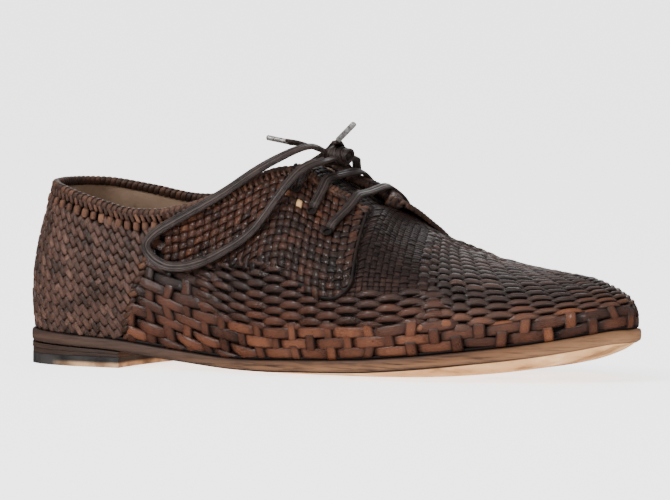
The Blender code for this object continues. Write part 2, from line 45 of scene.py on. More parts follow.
# The last, as the part's source has it: x from heel to toe, lateral side at -y
sole = {
    "station": (0, 10, 30, 60, 90, 120, 150, 185, 212, 240, 264, 282, 292, 296),
    "centre": (0, 0, 0, -0.5, -2.5, -5, -6, -4, 0, 3.5, 5.4, 6.2, 6.7, 6.8),
    "half": (0, 22.5, 31.8, 33.5, 32.5, 34, 39.5, 47.5, 51, 47.5, 38.8, 27, 14.2, 0),
    "tread": (10, 9.3, 8.6, 7, 3, 0.5, 0, 0, 0.6, 2.6, 6.2, 11, 15, 16.5),
    "lift": (0, 0, 0, 0, 0.8, 1, 1.7, 2.8, 4.2, 5.2, 4.6, 3, 1.2, 0),
    "thick": (6, 5.8, 5.5, 5.2, 5, 5, 5.4, 5.8, 6, 6, 6, 6, 6, 6),
}
ridge = (64, 56.5, 50.5, 47.2, 45.9, 45.4)  # from the throat to the toe
topLine = {
    "station": (0, 5, 18, 42, 68, 95, 120, 138, 147, 165, 180, 188, 192, 215, 235, 255, 274, 288, 296),
    "x": (11.8, 15, 24, 43, 66, 91, 114, 130, 137.5, 151, 163, 170, 173.5, 192, 209, 227, 244, 255, 260.5),
    "outer": (81.5, 81, 79.5, 74.5, 70, 73, 82, 89, 89.5, 82.5, 76.5, 73.8, 73, *ridge),
    "inner": (81.5, 81.3, 80.5, 77.5, 74, 76, 83, 89.5, 90, 83, 76.8, 74, 73, *ridge),
    "half": (0, 14, 23.5, 28, 29, 27, 22, 17.5, 16.5, 16, 14.5, 9, 0, 0, 0, 0, 0, 0, 0),
    "mid": (0, 0, 0, 0, 0.5, 1, 2, 3, 3.3, 3.8, 4.2, 4.4, 4.5, 5, 5.5, 6, 6.2, 6.5, 6.7),
    "lean": (12, 12, 12, 9, 9, 16, 28, 38, 42, 50, 62, 78, 90, 90, 90, 90, 90, 90, 90),
}
feather = {
    "station": (0, 60, 120, 200, 270, 296),
    "ledge": (2.6, 2, 2.2, 3, 2.7, 1.8),
    "flare": (7, 13, 18, 20, 14, 6),
}
last = {
    "length": 296 * mm,
    "throat": 192 * mm,
    "flatTread": 0.45,
    "treadClear": 0.1 * mm,
    "fitGap": 0.3 * mm,
    "footHandle": 0.42,
    "topHandle": 0.38,
    "bridgeCrown": 0.35,
    "place": np.array((-148.0, -0.03, 0)) * mm,  # where the part's own frame stands in the row
}
lateral, medial = bothSides = (-1.0, 1.0)
weld = 1e-6


def unit(vectors):
    return vectors / np.maximum(np.linalg.norm(vectors, axis=-1, keepdims=True), 1e-12)


def runAlong(points):
    return np.concatenate(([0], np.cumsum(np.linalg.norm(np.diff(points, axis=0), axis=1))))


def roundMeasure(station):
    # 0 at the heel to 1 at the toe, drawn out towards both ends
    return np.arccos(np.clip(1 - 2 * np.asarray(station, float) / last["length"], -1, 1)) / np.pi


def roundStation(measure):
    return last["length"] * (1 - np.cos(np.pi * measure)) / 2


def hermite(f, start, leave, end, arrive):
    leaving = (1 + 2 * f) * (1 - f) ** 2 * start + f * (1 - f) ** 2 * leave
    return leaving + f**2 * (3 - 2 * f) * end - f**2 * (1 - f) * arrive


def through(knots, values, at):
    slopes = np.gradient(values, knots)
    i = np.clip(np.searchsorted(knots, at, side="right") - 1, 0, len(knots) - 2)
    span = knots[i + 1] - knots[i]
    return hermite((at - knots[i]) / span, values[i], span * slopes[i], values[i + 1], span * slopes[i + 1])


def between(table, i, j):
    # a value between the rows and columns of an evenly stepped table
    i, j = (np.clip(at, 0, count - 1.001) for at, count in zip((i, j), table.shape))
    i0, j0 = i.astype(int), j.astype(int)
    fi, fj = i - i0, j - j0
    if table.ndim > 2:
        fi, fj = fi[..., None], fj[..., None]
    low = table[i0, j0] * (1 - fj) + table[i0, j0 + 1] * fj
    high = table[i0 + 1, j0] * (1 - fj) + table[i0 + 1, j0 + 1] * fj
    return low * (1 - fi) + high * fi


def easeBetween(low, high, value):
    f = np.clip((value - low) / (high - low), 0, 1)
    return f * f * (3 - 2 * f)


def bySide(side, outer, inner):
    return np.where(np.asarray(side) < 0, outer, inner)


def sized(table, name, station):
    knots = roundMeasure(np.array(table["station"]) * mm)
    return through(knots, np.array(table[name], float), roundMeasure(station))


def treadHeight(station, share):
    turned = np.clip((np.abs(share) - last["flatTread"]) / (1 - last["flatTread"]), 0, 1)
    low = np.maximum(sized(sole, "tread", station) * mm, last["treadClear"])
    return low + np.maximum(sized(sole, "lift", station), 0) * mm * turned**2


def seatHeight(station):
    return treadHeight(station, 1.0) + sized(sole, "thick", station) * mm


def soleEdge(station, side, inset):
    step = 0.002
    around = roundMeasure(station)

    def edge(share):
        x = roundStation(share)
        half = np.where((share < 0) | (share > 1), -1, 1) * np.maximum(sized(sole, "half", x), 0)
        return np.stack((x, (sized(sole, "centre", x) + side * half) * mm), axis=-1)

    along = unit(edge(around + step) - edge(around - step))
    outward = np.stack((-along[..., 1] * side, along[..., 0] * side), axis=-1)
    return edge(around) - np.asarray(inset)[..., None] * outward, outward


def topEdge(station, side):
    size = {name: sized(topLine, name, station) for name in topLine if name != "station"}
    closed = np.asarray(station) >= last["throat"] - 1e-9
    half = np.where(closed, 0, np.maximum(size["half"], 0))
    lean = np.radians(np.where(closed, 90, np.clip(size["lean"], 0, 90)))
    high = bySide(side, size["outer"], size["inner"])
    high = np.where(closed, (size["outer"] + size["inner"]) / 2, high)
    return np.stack((size["x"], size["mid"] + side * half, high), axis=-1) * mm, lean


def rib(station, side, rise):
    # a point on the outside of the upper, rise going from the sole's edge to the top line
    station, side, rise = np.broadcast_arrays(*(np.asarray(v, float) for v in (station, side, rise)))
    step = 0.5 * mm
    flare = np.radians(sized(feather, "flare", station))
    plan, outward = soleEdge(station, side, sized(feather, "ledge", station) * mm)
    foot = np.concatenate((plan, (seatHeight(station) + last["fitGap"])[..., None]), axis=-1)
    top, lean = topEdge(station, side)
    chord = np.linalg.norm(top - foot, axis=-1)[..., None]
    leave = np.concatenate((outward * np.sin(flare)[..., None], np.cos(flare)[..., None]), axis=-1)
    ahead = topEdge(np.minimum(station + step, last["length"]), side)[0]
    slant = ahead - topEdge(np.maximum(station - step, 0), side)[0]
    slope = slant[..., 2] / np.maximum(slant[..., 0], 1e-6)
    inward = unit((top - foot)[..., :2])
    fall = inward[..., 0] * slope * np.sin(lean) ** 4
    climb = np.cos(lean) + fall * np.sin(lean)
    arrive = np.concatenate((inward * np.sin(lean)[..., None], climb[..., None]), axis=-1)
    first = foot + leave * chord * last["footHandle"]
    final = top - arrive * chord * last["topHandle"]
    f = rise[..., None]
    return (1 - f) ** 3 * foot + 3 * f * (1 - f) ** 2 * first + 3 * f**2 * (1 - f) * final + f**3 * top


# Distances on the upper: walk goes round the sole's edge from the heel by the lateral side,
# up climbs from the sole along a rib.
fineStations = roundStation(np.linspace(0, 1, 401))
fineRises = np.linspace(0, 1, 61)
walkRun, ribLengths, evenRises = {}, {}, {}
for side in bothSides:
    net = rib(fineStations[:, None], side, fineRises[None])
    runs = np.array([runAlong(line) for line in net])
    walkRun[side] = runAlong(net[:, 0])
    ribLengths[side] = runs[:, -1]
    evenRises[side] = np.array([np.interp(fineRises, run / run[-1], fineRises) for run in runs])
halfWalk = walkRun[lateral][-1]
fullWalk = halfWalk + walkRun[medial][-1]


def ribLength(station, side):
    return bySide(side, *(np.interp(station, fineStations, ribLengths[s]) for s in bothSides))


def riseAt(station, side, share):
    i, j = roundMeasure(station) * (len(fineStations) - 1), share * (len(fineRises) - 1)
    rise = bySide(side, *(between(evenRises[s], i, j) for s in bothSides))
    return rise + np.maximum(share - 1, 0)  # a little past the edge


def shareAt(station, side, rise):
    row = np.rint(roundMeasure(station) * (len(fineStations) - 1)).astype(int)
    rise = np.ravel(rise)
    found = ([np.interp(r, line, fineRises) for r, line in zip(rise, evenRises[s][row])] for s in bothSides)
    return bySide(side, *found)


def stationAt(walk):
    walk = np.mod(walk, fullWalk)
    outer = walk <= halfWalk
    station = np.where(
        outer,
        np.interp(walk, walkRun[lateral], fineStations),
        np.interp(fullWalk - walk, walkRun[medial], fineStations),
    )
    return station, np.where(outer, lateral, medial)


def walkAt(station, side):
    walk = np.interp(station, fineStations, walkRun[side])
    return walk if side < 0 else fullWalk - walk


# Soft troughs where the foot bends the vamp, in millimetres, with the lowest share of the rib they reach
creases = (
    {"station": 203, "width": 6, "depth": 0.9, "from": 0.45},
    {"station": 216, "width": 5, "depth": 0.7, "from": 0.55},
    {"station": 236, "width": 9, "depth": 1.1, "from": 0.50},
)
creaseFade = 0.3


def creaseDepth(station, share):
    depth = np.zeros_like(station)
    for crease in creases:
        across = np.exp(-(((station / mm - crease["station"]) / crease["width"]) ** 2))
        depth += crease["depth"] * mm * across * np.clip((share - crease["from"]) / creaseFade, 0, 1)
    return depth


def wallBase(walk, up):
    station, side = stationAt(walk)
    length = ribLength(station, side)
    over = (up > length) & (station >= last["throat"])
    up = np.where(over, length + ribLength(station, -side) - up, up)
    side = np.where(over, -side, side)
    share = up / ribLength(station, side)
    return rib(station, side, riseAt(station, side, share)), creaseDepth(station, share)


def onWall(walk, up, stand):
    walk, up, stand = np.broadcast_arrays(walk, up, stand)
    step = 0.6 * mm
    point, depth = wallBase(walk, up)
    along = wallBase(walk + step, up)[0] - wallBase(walk - step, up)[0]
    climb = wallBase(walk, up + step)[0] - wallBase(walk, up - step)[0]
    return point + unit(np.cross(along, climb)) * (stand - depth)[..., None] + last["place"]


def offSide(station, side, rise, stand):
    step, riseStep = 0.5 * mm, 0.01
    along = rib(station + step, side, rise) - rib(station - step, side, rise)
    climb = rib(station, side, rise) - rib(station, side, rise - riseStep)
    out = unit(np.cross(climb, along) * np.asarray(side)[..., None])
    return rib(station, side, rise) + out * np.asarray(stand)[..., None], out


instep = {"from": 0.3, "ribPoints": 60, "bridgePoints": 24}


def archLine(station, away):
    # across the instep at one station, by the distance from its middle, over the open throat
    count = instep["ribPoints"]
    rise = np.linspace(instep["from"], 1, count)
    outer, inner = (rib(np.full(count, station), side, rise) for side in bothSides)
    span = np.linalg.norm(inner[-1] - outer[-1])
    line = [outer, inner[-2::-1]]
    if span > weld:
        ends = (outer[-1] - outer[-2], inner[-2] - inner[-1])
        leave, arrive = (unit(d) * span * last["bridgeCrown"] for d in ends)
        f = np.linspace(0, 1, instep["bridgePoints"])[1:-1, None]
        line = [outer, hermite(f, outer[-1], leave, inner[-1], arrive), inner[::-1]]
    line = np.concatenate(line)
    run = runAlong(line)
    middle = (run[count - 1] + run[len(line) - count]) / 2
    return np.stack([np.interp(middle + away, run, line[:, k]) for k in range(3)], axis=1)


print("last measured: sole edge", round(fullWalk / mm), "mm round")


# Materials
def addNode(tree, kind, values=None, **settings):
    node = tree.nodes.new(kind)
    for name, value in settings.items():
        setattr(node, name, value)
    for name, value in (values or {}).items():
        node.inputs[name].default_value = value
    return node


def wire(tree, value, socket):
    if isinstance(value, (int, float, tuple)):
        socket.default_value = value
    else:
        tree.links.new(value, socket)


def linear(colour):
    return tuple(((c / 255 + 0.055) / 1.055) ** 2.4 if c > 10 else c / 255 / 12.92 for c in colour) + (1,)


def ramp(tree, factor, stops):
    # stops of (place, colour), red, green and blue to 255 or a linear colour with its alpha
    node = tree.nodes.new("ShaderNodeValToRGB")
    node.color_ramp.interpolation = "EASE"
    while len(node.color_ramp.elements) < len(stops):
        node.color_ramp.elements.new(0.5)
    for element, (place, colour) in zip(node.color_ramp.elements, stops):
        element.position = place
        element.color = linear(colour) if len(colour) == 3 else colour
    tree.links.new(factor, node.inputs["Fac"])
    return node.outputs["Color"]


def evenStops(palette, first=0.0, final=1.0):
    return list(zip(np.linspace(first, final, len(palette)), palette))


def noise(tree, vector, scale, detail=3, roughness=0.55):
    node = addNode(tree, "ShaderNodeTexNoise", {"Scale": scale, "Detail": detail, "Roughness": roughness})
    tree.links.new(vector, node.inputs["Vector"])
    return node.outputs["Fac"]


def stretched(tree, vector, scale):
    node = addNode(tree, "ShaderNodeMapping", {"Scale": scale})
    tree.links.new(vector, node.inputs["Vector"])
    return node.outputs["Vector"]


def axesOf(tree, vector):
    node = addNode(tree, "ShaderNodeSeparateXYZ")
    tree.links.new(vector, node.inputs["Vector"])
    return node.outputs


def maths(tree, operation, first, second, clamp=False):
    node = addNode(tree, "ShaderNodeMath", operation=operation, use_clamp=clamp)
    for socket, value in zip(node.inputs, (first, second)):
        wire(tree, value, socket)
    return node.outputs[0]


def scaled(tree, value, gain, base=0.0):
    return maths(tree, "ADD", maths(tree, "MULTIPLY", value, gain), base)


def past(tree, value, middle, gain, clamp=False):
    # how far a value is past a middle one, enlarged
    return maths(tree, "MULTIPLY", maths(tree, "SUBTRACT", value, middle), gain, clamp)


def blendColour(tree, factor, first, second):
    node = addNode(tree, "ShaderNodeMix", data_type="RGBA")
    for socket, value in zip((node.inputs[0], node.inputs[6], node.inputs[7]), (factor, first, second)):
        wire(tree, value, socket)
    return node.outputs[2]


def attribute(tree, name):
    return addNode(tree, "ShaderNodeAttribute", attribute_name=name).outputs["Fac"]


def startMaterial(name, roughness, specular=0.5, coat=0.0, coatRough=0.3, sheen=0.0, metallic=0.0):
    material = bpy.data.materials.new(name)
    material.use_nodes = True
    tree = material.node_tree
    shader = tree.nodes["Principled BSDF"]
    shader.inputs["Roughness"].default_value = roughness
    shader.inputs["Specular IOR Level"].default_value = specular
    shader.inputs["Coat Weight"].default_value = coat
    shader.inputs["Coat Roughness"].default_value = coatRough
    shader.inputs["Sheen Weight"].default_value = sheen
    shader.inputs["Metallic"].default_value = metallic
    return material, tree, shader, addNode(tree, "ShaderNodeTexCoord").outputs


def surfaced(tree, shader, colour, roughness, layers):
    # layers of bump as (height, strength, distance), each on the one before
    tree.links.new(colour, shader.inputs["Base Color"])
    tree.links.new(roughness, shader.inputs["Roughness"])
    normal = None
    for height, strength, distance in layers:
        bump = addNode(tree, "ShaderNodeBump", {"Strength": strength, "Distance": distance})
        tree.links.new(height, bump.inputs["Height"])
        if normal:
            tree.links.new(normal, bump.inputs["Normal"])
        normal = bump.outputs["Normal"]
    if normal:
        tree.links.new(normal, shader.inputs["Normal"])


stripLook = {
    "blotchScale": 70, "blotchTone": 0.4, "blotchWear": 0.5,
    "fibreScale": 2.6, "fibreTone": 0.9, "fibreWear": 0.25, "fibreLength": (0.12, 1, 1),
    "grainScale": 1900,
    "fibreBump": (0.5, 0.0005),
    "grainBump": (0.35, 0.0002),
}


def stripLeather(name, palette, gloss):
    # a woven strip: tone picks the colour along the palette, with the painted sheen of each float's middle;
    # edge blends towards the shade colour, painted shade where a strip dives under its neighbours and along
    # its rims
    look = stripLook
    shine = (gloss["specular"], gloss["coat"], gloss["coatRough"])
    material, tree, shader, place = startMaterial(name, gloss["rough"], *shine)
    blotch = noise(tree, place["Object"], look["blotchScale"])
    fibres = noise(tree, stretched(tree, place["UV"], look["fibreLength"]), look["fibreScale"], 4, 0.65)
    grain = noise(tree, place["Object"], look["grainScale"], 2)
    tone = maths(tree, "ADD", attribute(tree, "tone"), past(tree, blotch, 0.5, look["blotchTone"]))
    tone = maths(tree, "ADD", tone, past(tree, fibres, 0.5, look["fibreTone"]), clamp=True)
    edge = maths(tree, "MULTIPLY", attribute(tree, "edge"), gloss["edgeDark"], clamp=True)
    colour = blendColour(tree, edge, ramp(tree, tone, evenStops(palette)), linear(gloss["shadeColour"]))
    wear = past(tree, blotch, 0.5, look["blotchWear"])
    wear = maths(tree, "ADD", wear, past(tree, fibres, 0.5, look["fibreWear"]))
    roughness = maths(tree, "ADD", wear, gloss["rough"], clamp=True)
    surfaced(tree, shader, colour, roughness, ((fibres, *look["fibreBump"]), (grain, *look["grainBump"])))
    return material


def plainLeather(name, palette, rough, blotchScale=60, grainScale=1500, bump=0.35, sheen=0.0):
    material, tree, shader, place = startMaterial(name, rough, specular=0.2, sheen=sheen)
    blotch = noise(tree, place["Object"], blotchScale, 4)
    grain = noise(tree, place["Object"], grainScale)
    colour = ramp(tree, blotch, evenStops(palette, 0.3, 0.7))
    roughness = maths(tree, "ADD", past(tree, grain, 0.5, 0.3), rough, clamp=True)
    surfaced(tree, shader, colour, roughness, ((blotch, 0.12, 0.002), (grain, bump, 0.0003)))
    return material


# Meshes
def mappedGrid(columns, rows, place):
    # a grid whose points go where place() puts their shares along and across
    bm = bmesh.new()
    bmesh.ops.create_grid(bm, x_segments=columns, y_segments=rows, size=0.5)
    share = np.array([(v.co.x + 0.5, v.co.y + 0.5) for v in bm.verts])
    for v, point in zip(bm.verts, place(share[:, 0], share[:, 1])):
        v.co = point
    return bm


def addPiece(name, mesh, materials, nodes):
    for material in materials:
        mesh.materials.append(material)
    mesh.shade_smooth()
    piece = bpy.data.objects.new(name, mesh)
    bpy.context.scene.collection.objects.link(piece)
    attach(piece, "root")
    if nodes:
        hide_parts(*nodes)
    return piece


def finishPiece(name, bm, materials, nodes=(), outward=True):
    bmesh.ops.remove_doubles(bm, verts=bm.verts, dist=weld)
    if outward:
        bmesh.ops.recalc_face_normals(bm, faces=bm.faces)
    mesh = bpy.data.meshes.new(name)
    bm.to_mesh(mesh)
    bm.free()
    return addPiece(name, mesh, materials, nodes)


def thicken(piece, thick, offset, lining=0):
    wall = piece.modifiers.new("wall", "SOLIDIFY")
    wall.thickness = thick
    wall.offset = offset
    wall.material_offset = lining


def sweep(bm, points, outs, width, thick, corner=0.55, around=14):
    # a flat lace along points, its broad face turned to outs
    points, outs = np.asarray(points, float), np.asarray(outs, float)
    tangent = unit(np.gradient(points, axis=0))
    across = unit(np.cross(outs, tangent))
    outs = np.cross(tangent, across)
    turn = np.linspace(0, 2 * np.pi, around, endpoint=False)
    x = np.sign(np.cos(turn)) * np.abs(np.cos(turn)) ** corner * width / 2
    y = np.sign(np.sin(turn)) * np.abs(np.sin(turn)) ** corner * thick / 2
    rings = points[:, None] + across[:, None] * x[None, :, None] + outs[:, None] * y[None, :, None]
    loops = [[bm.verts.new(p) for p in ring] for ring in rings]
    uv = bm.loops.layers.uv.verify()
    run = runAlong(points) / mm
    for i in range(len(loops) - 1):
        for k in range(around):
            n = (k + 1) % around
            face = bm.faces.new((loops[i][k], loops[i + 1][k], loops[i + 1][n], loops[i][n]))
            corners = ((run[i], k), (run[i + 1], k), (run[i + 1], k + 1), (run[i], k + 1))
            for loop, spot in zip(face.loops, corners):
                loop[uv].uv = spot
    bm.faces.new(loops[0])
    bm.faces.new(loops[-1][::-1])


# Camera and light
view = {
    "azimuth": 29,
    "elevation": 3.5,
    "distance": 6.0,
    "target": (-1.9, 7.2, 52.8),
    "lens": 729.0,
    "sensor": 36,
    "farthest": 200,
}
studio = {
    "sky": ((0.0, 0.1), (0.35, 0.3), (0.8, 0.65)),  # height, glow
    "floor": (246, 246, 245),
    "floorGlow": 2.1,
    "floorSize": 60.0,
    "aim": (0, 0, 0.05),
    "sun": {"from": (-0.35, -0.35, 1.0), "strength": 2.0, "angle": 70},  # even over the whole floor
    "lights": (
        {"name": "keySoftbox", "place": (-0.9, -1.5, 1.6), "size": 0.35, "power": 24},
        {"name": "fillSoftbox", "place": (1.6, -1.1, 1.2), "size": 0.3, "power": 10},
        {"name": "lowSoftbox", "place": (-1.1, -2.0, 0.55), "size": 0.5, "power": 9},
        {"name": "backSoftbox", "place": (-0.8, 1.5, 1.1), "size": 0.6, "power": 5, "shineOnly": True},
    ),
}


def addLight(name, kind, power, heading):
    data = bpy.data.lights.new(name, kind)
    data.energy = power
    lamp = bpy.data.objects.new(name, data)
    lamp.rotation_euler = heading.to_track_quat("Z", "Y").to_euler()
    bpy.context.scene.collection.objects.link(lamp)
    return lamp


def makeCamera():
    turn, rise = math.radians(view["azimuth"]), math.radians(view["elevation"])
    back = Vector((math.sin(turn) * math.cos(rise), -math.cos(turn) * math.cos(rise), math.sin(rise)))
    data = bpy.data.cameras.new("photoCamera")
    data.lens = view["lens"]
    data.sensor_width = view["sensor"]
    data.sensor_fit = "HORIZONTAL"
    data.clip_end = view["farthest"]
    camera = bpy.data.objects.new("photoCamera", data)
    camera.location = Vector(view["target"]) * mm + back * view["distance"]
    camera.rotation_euler = back.to_track_quat("Z", "Y").to_euler()
    bpy.context.scene.collection.objects.link(camera)
    bpy.context.scene.camera = camera


def makeSky():
    world = bpy.data.worlds.new("studio")
    world.use_nodes = True
    tree = world.node_tree
    heading = axesOf(tree, addNode(tree, "ShaderNodeTexCoord").outputs["Generated"])
    sky = ramp(tree, heading["Z"], [(height, (glow, glow, glow, 1)) for height, glow in studio["sky"]])
    tree.links.new(sky, tree.nodes["Background"].inputs["Color"])
    bpy.context.scene.world = world


def makeLights():
    sun = studio["sun"]
    lamp = addLight("overheadDiffuser", "SUN", sun["strength"], Vector(sun["from"]))
    lamp.data.angle = math.radians(sun["angle"])
    lamp.visible_glossy = False  # it would veil the dark leather
    for light in studio["lights"]:
        heading = Vector(light["place"]) - Vector(studio["aim"])
        lamp = addLight(light["name"], "AREA", light["power"], heading)
        lamp.location = light["place"]
        lamp.data.size = light["size"]
        lamp.visible_diffuse = not light.get("shineOnly", False)


def makeFloor():
    bm = bmesh.new()
    bmesh.ops.create_grid(bm, x_segments=1, y_segments=1, size=studio["floorSize"] / 2)
    mesh = bpy.data.meshes.new("floor")
    bm.to_mesh(mesh)
    bm.free()
    material, _, shader, _ = startMaterial("paleFloor", 0.6, 0.3)
    shader.inputs["Base Color"].default_value = linear(studio["floor"])
    shader.inputs["Emission Color"].default_value = (1, 1, 1, 1)
    shader.inputs["Emission Strength"].default_value = studio["floorGlow"]
    mesh.materials.append(material)
    floor = bpy.data.objects.new("floor", mesh)
    bpy.context.scene.collection.objects.link(floor)
    floor.visible_glossy = False


makeCamera()
makeSky()
makeLights()
makeFloor()
print("camera, light and floor set")


# Lace: bars over the throat, a bow whose loops lie on the quarters, two short ends with metal tips
lace = {
    "width": 4.5 * mm,
    "thick": 1.6 * mm,
    "step": 2.0 * mm,
    "easing": 7,
    "colours": ((18, 13, 11), (36, 27, 24), (64, 51, 46)),
    "eyelets": ((150, 0.88, 154.5), (161, 0.80, 167), (172, 0.71, 184)),  # station, rise, crown of the bar
    "eyeletRadius": 1.9 * mm,
    "bar": {"lift": 3.3 * mm, "ride": 2.4 * mm, "dive": 5.5 * mm, "diveFrom": 0.9, "points": 61},
    "knot": (151.0, 1.5, 94.9),
    "knotHalf": (6.4, 5.0, 3.4),
    "knotCore": 0.95,
    "turns": ((0.9, -2.4, 0.93), (-0.8, 1.4, 0.97), (0.5, 3.6, 0.74)),  # lean, shift, share of the girth
    "turnHalf": (5.0, 3.7),
    "turnFace": (4.3, 5.6),
    "loop": (  # station, rise, stand off the upper
        (138, 1.00, 7.2), (126, 1.00, 4.8), (117, 0.98, 4.0), (98, 0.935, 3.8), (78, 0.815, 3.8),
        (73.5, 0.745, 3.9), (77, 0.66, 3.8), (85, 0.58, 3.8), (100, 0.56, 3.8), (118, 0.60, 3.8),
        (132.5, 0.65, 3.8), (140, 0.745, 4.8), (147.5, 0.86, 7.4), (153, 0.97, 8.2),
    ),
    "loopStart": ((147.7, 4.74, 96.54), (146.2, 8.2, 99.2)),
    "loopEnd": ((152.5, 9.4, 93.6), (152.1, 5.83, 94.36)),
    "backEnd": ((143.9, 1.5, 95.9), (140.2, 1.7, 97.6), (133.0, 3.4, 99.6), (123.5, 5.0, 100.2)),
    "backTip": ((124.5, 4.9, 100.1), (112.5, 6.2, 101.8)),
    "frontEnd": (  # under the knot, round its far side and over the top
        (148.2, -1.2, 92.6), (149.2, 1.4, 91.3), (150.2, 4.6, 92.4), (150.8, 6.3, 95.5), (150.5, 5.4, 99.0),
        (150.2, 2.6, 101.1), (150.3, 0.4, 101.2), (150.9, -1.4, 101.1), (152.2, -2.6, 101.5),
        (153.6, -3.2, 102.4),
    ),
    "frontTip": ((153.2, -3.0, 102.0), (162.8, -5.4, 109.8)),
    "tip": {"width": 2.7 * mm, "thick": 2.4 * mm, "rim": 0.35 * mm, "points": 9, "around": 20},
    "tipColours": ((118, 114, 111), (192, 189, 186)),
}


def waxedLace():
    material, tree, shader, place = startMaterial("waxedLace", 0.5, 0.35)
    wave = {"Scale": 0.38, "Distortion": 0.8, "Detail": 2.0}
    ribs = addNode(tree, "ShaderNodeTexWave", wave, bands_direction="Y")
    tree.links.new(place["UV"], ribs.inputs["Vector"])
    ribs = ribs.outputs["Fac"]
    blotch = noise(tree, place["Object"], 160)
    grain = noise(tree, place["Object"], 1400, 2)
    mixed = maths(tree, "ADD", maths(tree, "MULTIPLY", ribs, 0.35), maths(tree, "MULTIPLY", blotch, 0.65))
    colour = ramp(tree, mixed, evenStops(lace["colours"], 0.28, 0.72))
    bumps = ((ribs, 0.45, 0.0005), (grain, 0.3, 0.0002))
    surfaced(tree, shader, colour, scaled(tree, blotch, 0.4, 0.25), bumps)
    return material


def tipMetal():
    material, tree, shader, place = startMaterial("tipMetal", 0.3, metallic=0.7)
    scuff = noise(tree, place["Object"], 420, 4)
    colour = ramp(tree, scuff, evenStops(lace["tipColours"], 0.3, 0.7))
    surfaced(tree, shader, colour, scaled(tree, scuff, 0.3, 0.15), ())
    return material


def evenPath(points, step):
    points = np.asarray(points, float)
    run = runAlong(points)
    at = np.linspace(0, run[-1], max(2, round(run[-1] / step) + 1))
    return np.stack([through(run, points[:, k], at) for k in range(points.shape[1])], axis=1)


laceMaterial = waxedLace()
metalMaterial = tipMetal()


def makeTip(name, ends, node):
    tip = lace["tip"]
    points = np.linspace(*(np.array(end) * mm for end in ends), tip["points"]) + last["place"]
    outs = np.tile((0, 0.3, 1.0), (tip["points"], 1))
    bm = bmesh.new()
    sweep(bm, points, outs, tip["width"], tip["thick"], 1.0, tip["around"])
    piece = finishPiece(name, bm, [metalMaterial], [node])
    rim = piece.modifiers.new("roundedRim", "BEVEL")
    rim.width = tip["rim"]
    rim.segments = 2
    return piece


def makeStrand(name, side, end, nodes):
    # from the knot round one loop of the bow, back through the knot and out to the tip
    table = np.array(lace["loop"])
    rows, outs = offSide(table[:, 0] * mm, np.full(len(table), side), table[:, 1], table[:, 2] * mm)
    middle = np.array((0, lace["knot"][1] * mm, 0))
    start, finish = (np.array(lace[key]) * (mm, side * mm, mm) + middle for key in ("loopStart", "loopEnd"))
    points = np.concatenate((finish[::-1], rows[::-1], start[::-1], np.array(end) * mm))
    away = np.tile((0, side * 0.5, 1.0), (2, 1))
    radial = unit((np.array(end) - lace["knot"]) * (0, 1, 1))
    faces = np.concatenate((away, outs[::-1], away, radial))
    path = evenPath(np.concatenate((points, faces * mm), axis=1), lace["step"])
    for _ in range(lace["easing"]):
        path[2:-2] = (path[1:-3] + 2 * path[2:-2] + path[3:-1]) / 4
    centre = path[:, :3] + last["place"]
    bm = bmesh.new()
    sweep(bm, centre, path[:, 3:], lace["width"], lace["thick"])
    piece = finishPiece(name, bm, [laceMaterial], nodes)
    long = float(runAlong(centre)[-1])
    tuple(centre[0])
    return long


def makeBars():
    bar = lace["bar"]
    bm = bmesh.new()
    share = np.linspace(-1, 1, bar["points"])
    dive = np.clip((np.abs(share) - bar["diveFrom"]) / (1 - bar["diveFrom"]), 0, 1)
    for station, rise, crown in lace["eyelets"]:
        gap = np.linalg.norm(rib(station * mm, lateral, 1.0) - rib(station * mm, medial, 1.0))
        climb = np.linspace(rise, 1, 40)
        reach = [runAlong(rib(station * mm, side, climb))[-1] + gap / 2 for side in bothSides]
        away = bySide(share, *reach) * share
        along = (station + (crown - station) * (1 - share**2)) * mm
        points = np.array([archLine(s, np.array([d]))[0] for s, d in zip(along, away)])
        ahead = np.array([archLine(s + mm, np.array([d]))[0] for s, d in zip(along, away)])
        outs = unit(np.cross(ahead - points, np.gradient(points, axis=0)))
        # over the lifted flap
        ride = bar["ride"] * easeBetween(-0.2, 0.35, share) * easeBetween(155, 182, crown)
        points = points + outs * (bar["lift"] + ride * (1 - dive) - dive**2 * bar["dive"])[:, None]
        sweep(bm, points + last["place"], outs, lace["width"], lace["thick"])
    nodes = ("lace_bar_top", "lace_bar_middle", "lace_bar_low")
    finishPiece("laceBars", bm, [laceMaterial], nodes)


def makeKnot():
    bm = bmesh.new()
    bmesh.ops.create_icosphere(bm, subdivisions=4, radius=1.0)
    middle = np.array(lace["knot"]) * mm + last["place"]
    bmesh.ops.scale(bm, vec=np.array(lace["knotHalf"]) * mm * lace["knotCore"], verts=bm.verts)
    bmesh.ops.translate(bm, vec=middle, verts=bm.verts)
    turn = np.append(np.linspace(0, 2 * np.pi, 37)[:-1], 2 * np.pi + 0.01)
    circle = np.stack((np.cos(turn), np.sin(turn)), axis=1)
    outs = np.concatenate((np.zeros((len(turn), 1)), circle * lace["turnFace"]), axis=1)
    for lean, shift, grow in lace["turns"]:  # lace wound round the bow's middle
        sway = circle[:, 1:] * lean + shift
        ring = np.concatenate((sway, circle * lace["turnHalf"] * grow), axis=1)
        sweep(bm, ring * mm + middle, outs, lace["width"], lace["thick"])
    finishPiece("laceKnot", bm, [laceMaterial], ("lace_knot",))


backTip = makeTip("laceTipBack", lace["backTip"], "lace_tip_back")
frontTip = makeTip("laceTipFront", lace["frontTip"], "lace_tip_front")
strandNodes = ("lace_loop_lateral", "lace_end_front"), ("lace_loop_medial", "lace_end_back")
strandLengths = (
    makeStrand("laceBowLateral", lateral, lace["frontEnd"], strandNodes[0]),
    makeStrand("laceBowMedial", medial, lace["backEnd"], strandNodes[1]),
)
makeBars()
makeKnot()
print("lace laid, bow strands", [round(v / mm) for v in strandLengths], "mm")
